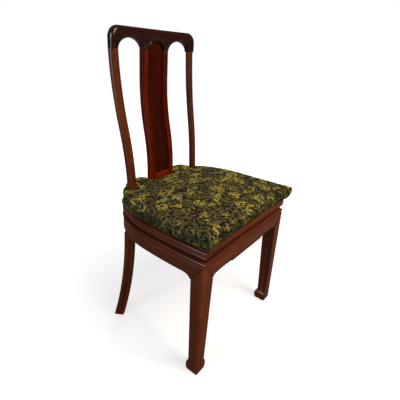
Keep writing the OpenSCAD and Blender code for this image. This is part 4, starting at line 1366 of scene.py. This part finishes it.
def pull_corners(target):
    """Pulls the two front corners out to the points that their seams give them."""
    reach = 80 * MM
    low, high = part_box("cushion_cover")
    for side in SIDES.values():
        tip = Vector((side * high.x, low.y))
        near = min((Vector(v.co.xy) - tip).length for v in target.data.vertices)
        for vertex in target.data.vertices:
            gap = (vertex.co.xy - tip).length - near
            pull = max(0.0, 1 - gap / reach) ** 2
            vertex.co.xy += (tip - vertex.co.xy).normalized() * near * pull


class ChairCushion(bpy.types.Operator):
    """Make the brocade cushion, notched for the posts and the splat"""
    bl_idname = "chair.cushion"
    bl_label = "Cushion"

    def execute(self, context):
        settings = context.scene.side_chair
        sizes, back = settings.cushion, settings.back
        plan = SeatPlan(settings.seat)
        post = PostLine(plan, back)
        splat_y = SplatLine(post).foot_y - back.stile_t / 2
        # The body starts smaller by a fifth of what the stuffing may move it
        swell = 0.2 * sizes.swell
        rings = cushion_rings(plan, sizes, swell)
        target = scene_object("cushion", chair_mesh("cushion", *loft(rings, rings)))
        cut(target, self.openings(sizes, post, splat_y, swell))
        remesh = target.modifiers.new("cloth", "REMESH")
        remesh.mode = "VOXEL"
        remesh.voxel_size = sizes.voxel
        settle(target)
        stuff(target, sizes)
        pull_corners(target)
        seat_well(target, post, sizes, splat_y)
        fine = target.modifiers.new("fine", "SUBSURF")
        fine.levels = fine.render_levels = 1
        settle(target)
        self.creases(target.data, sizes)
        mesh = target.data
        mesh.name = "cushion_cloth"
        bpy.data.objects.remove(target)
        mesh.shade_smooth()
        made = piece(mesh, "cushion_cloth", "cushion", silk_brocade(settings.colours),
                     "cushion_cover")
        return {"FINISHED"}

    def openings(self, sizes, post, splat_y, swell):
        """Meshes of what is cut out: the posts' holes, the slits behind them and the notch for
        the splat. They reach past the cushion, and are wider by what the cloth swells."""
        back = post.back
        grow = sizes.notch_gap + swell
        low, high, far_y = RAIL_HIGH - 20 * MM, RAIL_HIGH + 90 * MM, 0.6
        slit, set_back, step = sizes.slit_w / 2 + swell, 1.5 * MM, 1 * MM
        hole = oval(back.post_d + 2 * grow, back.post_w + 2 * grow, back.post_turn, 40)
        tools = []
        for side in SIDES.values():
            x, y = side * post.foot.x, post.foot.y
            tools.append(cutter([(x + side * p.x, y + set_back + p.y) for p in hole], low, high))
            tools.append(cutter([(x - slit, y), (x + slit, y), (x + slit, far_y),
                                 (x - slit, far_y)], low + step, high - step))
        half, near_y = back.splat_w / 2 + grow, splat_y - grow
        tools.append(cutter([(-half, near_y), (half, near_y), (half, far_y), (-half, far_y)],
                            low, high))
        return tools

    def creases(self, mesh, sizes):
        """Full rear lobes and small dents in the stuffed cloth, and the mark of the side band,
        which the brocade uses for painted shade on the steeper sides and along the seam."""
        base = RAIL_HIGH + sizes.lift
        # Middle and radius of each lobe, between a post and the splat, and its height
        lobe_x, lobe_y = 112 * MM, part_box("cushion_cover")[1].y - 40 * MM
        lobe_r, lobe_h = 60 * MM, 9 * MM
        # Each kind of dent: how many to a metre, and its depth
        dents = ((22, 1.2 * MM), (60, 0.5 * MM))
        # Height over which the base stays plain
        plain_h = 15 * MM
        # The band's mark rises from 0 at the crown's slope to 1 where the cloth is steeper, and
        # the seam lies about half way
        crown_slope, slope_run, seam_place, seam_deep = 0.72, 0.3, 0.52, 1.0 * MM
        band = mesh.attributes.new("band", "FLOAT", "POINT")
        normals = [v.normal.copy() for v in mesh.vertices]
        for vertex, normal, mark in zip(mesh.vertices, normals, band.data):
            p = vertex.co
            soft = sum(noise.noise(p * count) * deep for count, deep in dents)
            lobe = Vector((abs(p.x) - lobe_x, p.y - lobe_y)).length / lobe_r
            soft += lobe_h * max(0.0, 1 - lobe ** 2) * max(0.0, normal.z)
            lift = min(1.0, (p.z - base) / plain_h)
            vertex.co = p + normal * soft * lift
            mark.value = share(crown_slope - normal.z, 0, slope_run)
            seam = max(0.0, 1 - abs(mark.value - seam_place) / slope_run)
            vertex.co -= normal * seam * seam_deep * lift


# Stage


def studio_white():
    """Matt white painted studio floor. It gives a white ground with the chair's soft shadow,
    which is plain white from a metre away."""
    finish, tree, shader = new_finish("studio floor, matt paint")
    path = add(tree, "ShaderNodeLightPath").outputs
    place = add(tree, "ShaderNodeTexCoord").outputs["Object"]
    far = add(tree, "ShaderNodeVectorMath", {0: place}, operation="LENGTH")
    grainy = add(tree, "ShaderNodeTexNoise", {"Vector": place, "Scale": 30.0})
    tint = add(tree, "ShaderNodeValToRGB", {"Fac": grainy}, stops=[
        (0.4, linear("#d2d2d2")), (0.6, linear("#d8d8d8"))])
    own = add(tree, "ShaderNodeMapRange", {
        "Value": far.outputs["Value"], "From Min": 0.3, "From Max": 1.0, "To Min": 0.6,
        "To Max": 1.0})
    shine = add(tree, "ShaderNodeMapRange", {
        "Value": far.outputs["Value"], "From Min": 0.4, "From Max": 1.3, "To Min": 0.0,
        "To Max": 0.1})
    ground = add(tree, "ShaderNodeMix", {
        "Factor": path["Is Camera Ray"], 6: linear("#6a6a6a"), 7: tint},
        data_type="RGBA")
    seen = add(tree, "ShaderNodeMath", {0: path["Is Camera Ray"], 1: own}, operation="MULTIPLY")
    glow = add(tree, "ShaderNodeMath", {0: path["Is Glossy Ray"], 1: shine, 2: seen},
               operation="MULTIPLY_ADD")
    feed(tree, shader, {
        "Base Color": ground.outputs[2], "Emission Strength": glow,
        "Emission Color": grey(1), "Roughness": 0.9, "Specular IOR Level": 0.1})
    return finish


# Each lamp's name, place, the point that it faces, its width and height, its power, its colour
# and the kind of light that it doesn't give. The window pane is there for reflections alone.
LAMPS = (
    ("window left", (-2.9, 0.4, 1.1), (0, 0.1, 0.7), (0.5, 1.6), 22, "#dfe6ff", None),
    ("window pane", (-2.7, 0.5, 1.75), (0, 0.1, 1.0), (1.3, 1.3), 55, "#dfe6ff", "diffuse"),
    ("key above", (0.2, -2.1, 2.5), (0, 0, 0.5), (1.6, 1.6), 60, "#fff2e0", None),
    ("rim behind", (1.9, 1.5, 2.7), (0, 0, 0.5), (1.2, 1.2), 9, "#ffdfbe", "glossy"),
)


def lamp(name, place, target, size, power, colour, without):
    """A soft rectangular lamp that faces a point."""
    light = bpy.data.lights.new(name, "AREA")
    light.shape = "RECTANGLE"
    light.size, light.size_y = size
    light.energy = power
    light.color = linear(colour)[:3]
    made = scene_object(name, light)
    made.location = place
    made.rotation_euler = (Vector(target) - Vector(place)).to_track_quat("-Z", "Y").to_euler()
    made.visible_diffuse = without != "diffuse"
    made.visible_glossy = without != "glossy"


def studio_world():
    """White surroundings that the camera sees, and a plain low light from them."""
    world = bpy.data.worlds.new("studio")
    world.use_nodes = True
    tree = world.node_tree
    tree.nodes.clear()
    path = add(tree, "ShaderNodeLightPath").outputs
    seen = add(tree, "ShaderNodeMath", {
        0: path["Is Camera Ray"], 1: path["Is Transmission Ray"]}, operation="MAXIMUM")
    ambient = add(tree, "ShaderNodeMapRange", {
        "Value": path["Is Glossy Ray"], "To Min": 0.3, "To Max": 0.07})
    level = add(tree, "ShaderNodeMapRange", {
        "Value": seen, "To Min": ambient, "To Max": 1.0})
    sky = add(tree, "ShaderNodeBackground", {"Color": grey(1), "Strength": level})
    add(tree, "ShaderNodeOutputWorld", {"Surface": sky})
    return world


class ChairStage(bpy.types.Operator):
    """Set the camera, the floor and the studio light"""
    bl_idname = "chair.stage"
    bl_label = "Stage"

    # Camera of the photograph, worked out from the chair's own sizes
    place = Vector((-0.8780, -0.6324, 0.9347))
    yaw, pitch, roll = radians(38.1566), radians(-21.0689), radians(2.8936)
    lens_mm = 29.976
    shift = (0.0362, -0.0450)
    # Half the floor's width, in metres
    floor_half = 6

    def execute(self, context):
        scene = context.scene
        scene.camera = self.camera()
        wide = self.floor_half
        mesh = bpy.data.meshes.new("floor")
        mesh.from_pydata([(-wide, -wide, 0), (wide, -wide, 0), (wide, wide, 0), (-wide, wide, 0)],
                         [], [(0, 1, 2, 3)])
        mesh.materials.append(studio_white())
        scene_object("floor", mesh)
        scene.world = studio_world()
        for row in LAMPS:
            lamp(*row)
        scene.view_settings.view_transform = "Standard"
        return {"FINISHED"}

    def camera(self):
        """The camera, turned first sideways, then down, then about its own line of sight."""
        ahead = Vector((cos(self.pitch) * cos(self.yaw), cos(self.pitch) * sin(self.yaw),
                        sin(self.pitch)))
        right = ahead.cross(Vector((0, 0, 1))).normalized()
        up = right.cross(ahead)
        across = right * cos(self.roll) + up * sin(self.roll)
        over = up * cos(self.roll) - right * sin(self.roll)
        data = bpy.data.cameras.new("camera")
        data.sensor_fit = "HORIZONTAL"
        data.sensor_width = 36
        data.lens = self.lens_mm
        data.shift_x, data.shift_y = self.shift
        data.clip_start = 0.05
        made = scene_object("camera", data)
        turn = Matrix((across, over, -ahead)).transposed()
        made.matrix_world = Matrix.Translation(self.place) @ turn.to_4x4()
        return made


class ChairPanel(bpy.types.Panel):
    """Lists the sizes, the colours and the pieces"""
    bl_idname = "VIEW3D_PT_side_chair"
    bl_label = "Side chair"
    bl_space_type = "VIEW_3D"
    bl_region_type = "UI"
    bl_category = "Side chair"

    def draw(self, context):
        settings = context.scene.side_chair
        for group in (settings.seat, settings.legs, settings.back, settings.cushion,
                      settings.colours):
            box = self.layout.box()
            for name in group.__annotations__:
                box.prop(group, name)
        for operator in PIECES:
            self.layout.operator(operator.bl_idname)


PIECES = (ChairSeatFrame, ChairLegs, ChairBackPosts, ChairSplat, ChairCrestRail, ChairHiddenWood,
          ChairCushion, ChairStage)
GROUPS = (ChairSeatSizes, ChairLegSizes, ChairBackSizes, ChairCushionSizes, ChairColours,
          ChairSettings)


def register():
    for cls in (*GROUPS, *PIECES, ChairPanel):
        bpy.utils.register_class(cls)
    bpy.types.Scene.side_chair = bpy.props.PointerProperty(type=ChairSettings)


def unregister():
    del bpy.types.Scene.side_chair
    for cls in (ChairPanel, *PIECES[::-1], *GROUPS[::-1]):
        bpy.utils.unregister_class(cls)


def main():
    register()
    bpy.ops.chair.stage()
    bpy.ops.chair.seat_frame()
    bpy.ops.chair.legs()
    bpy.ops.chair.back_posts()
    bpy.ops.chair.splat()
    bpy.ops.chair.crest_rail()
    bpy.ops.chair.hidden_wood()
    bpy.ops.chair.cushion()


if __name__ == "__main__":
    main()
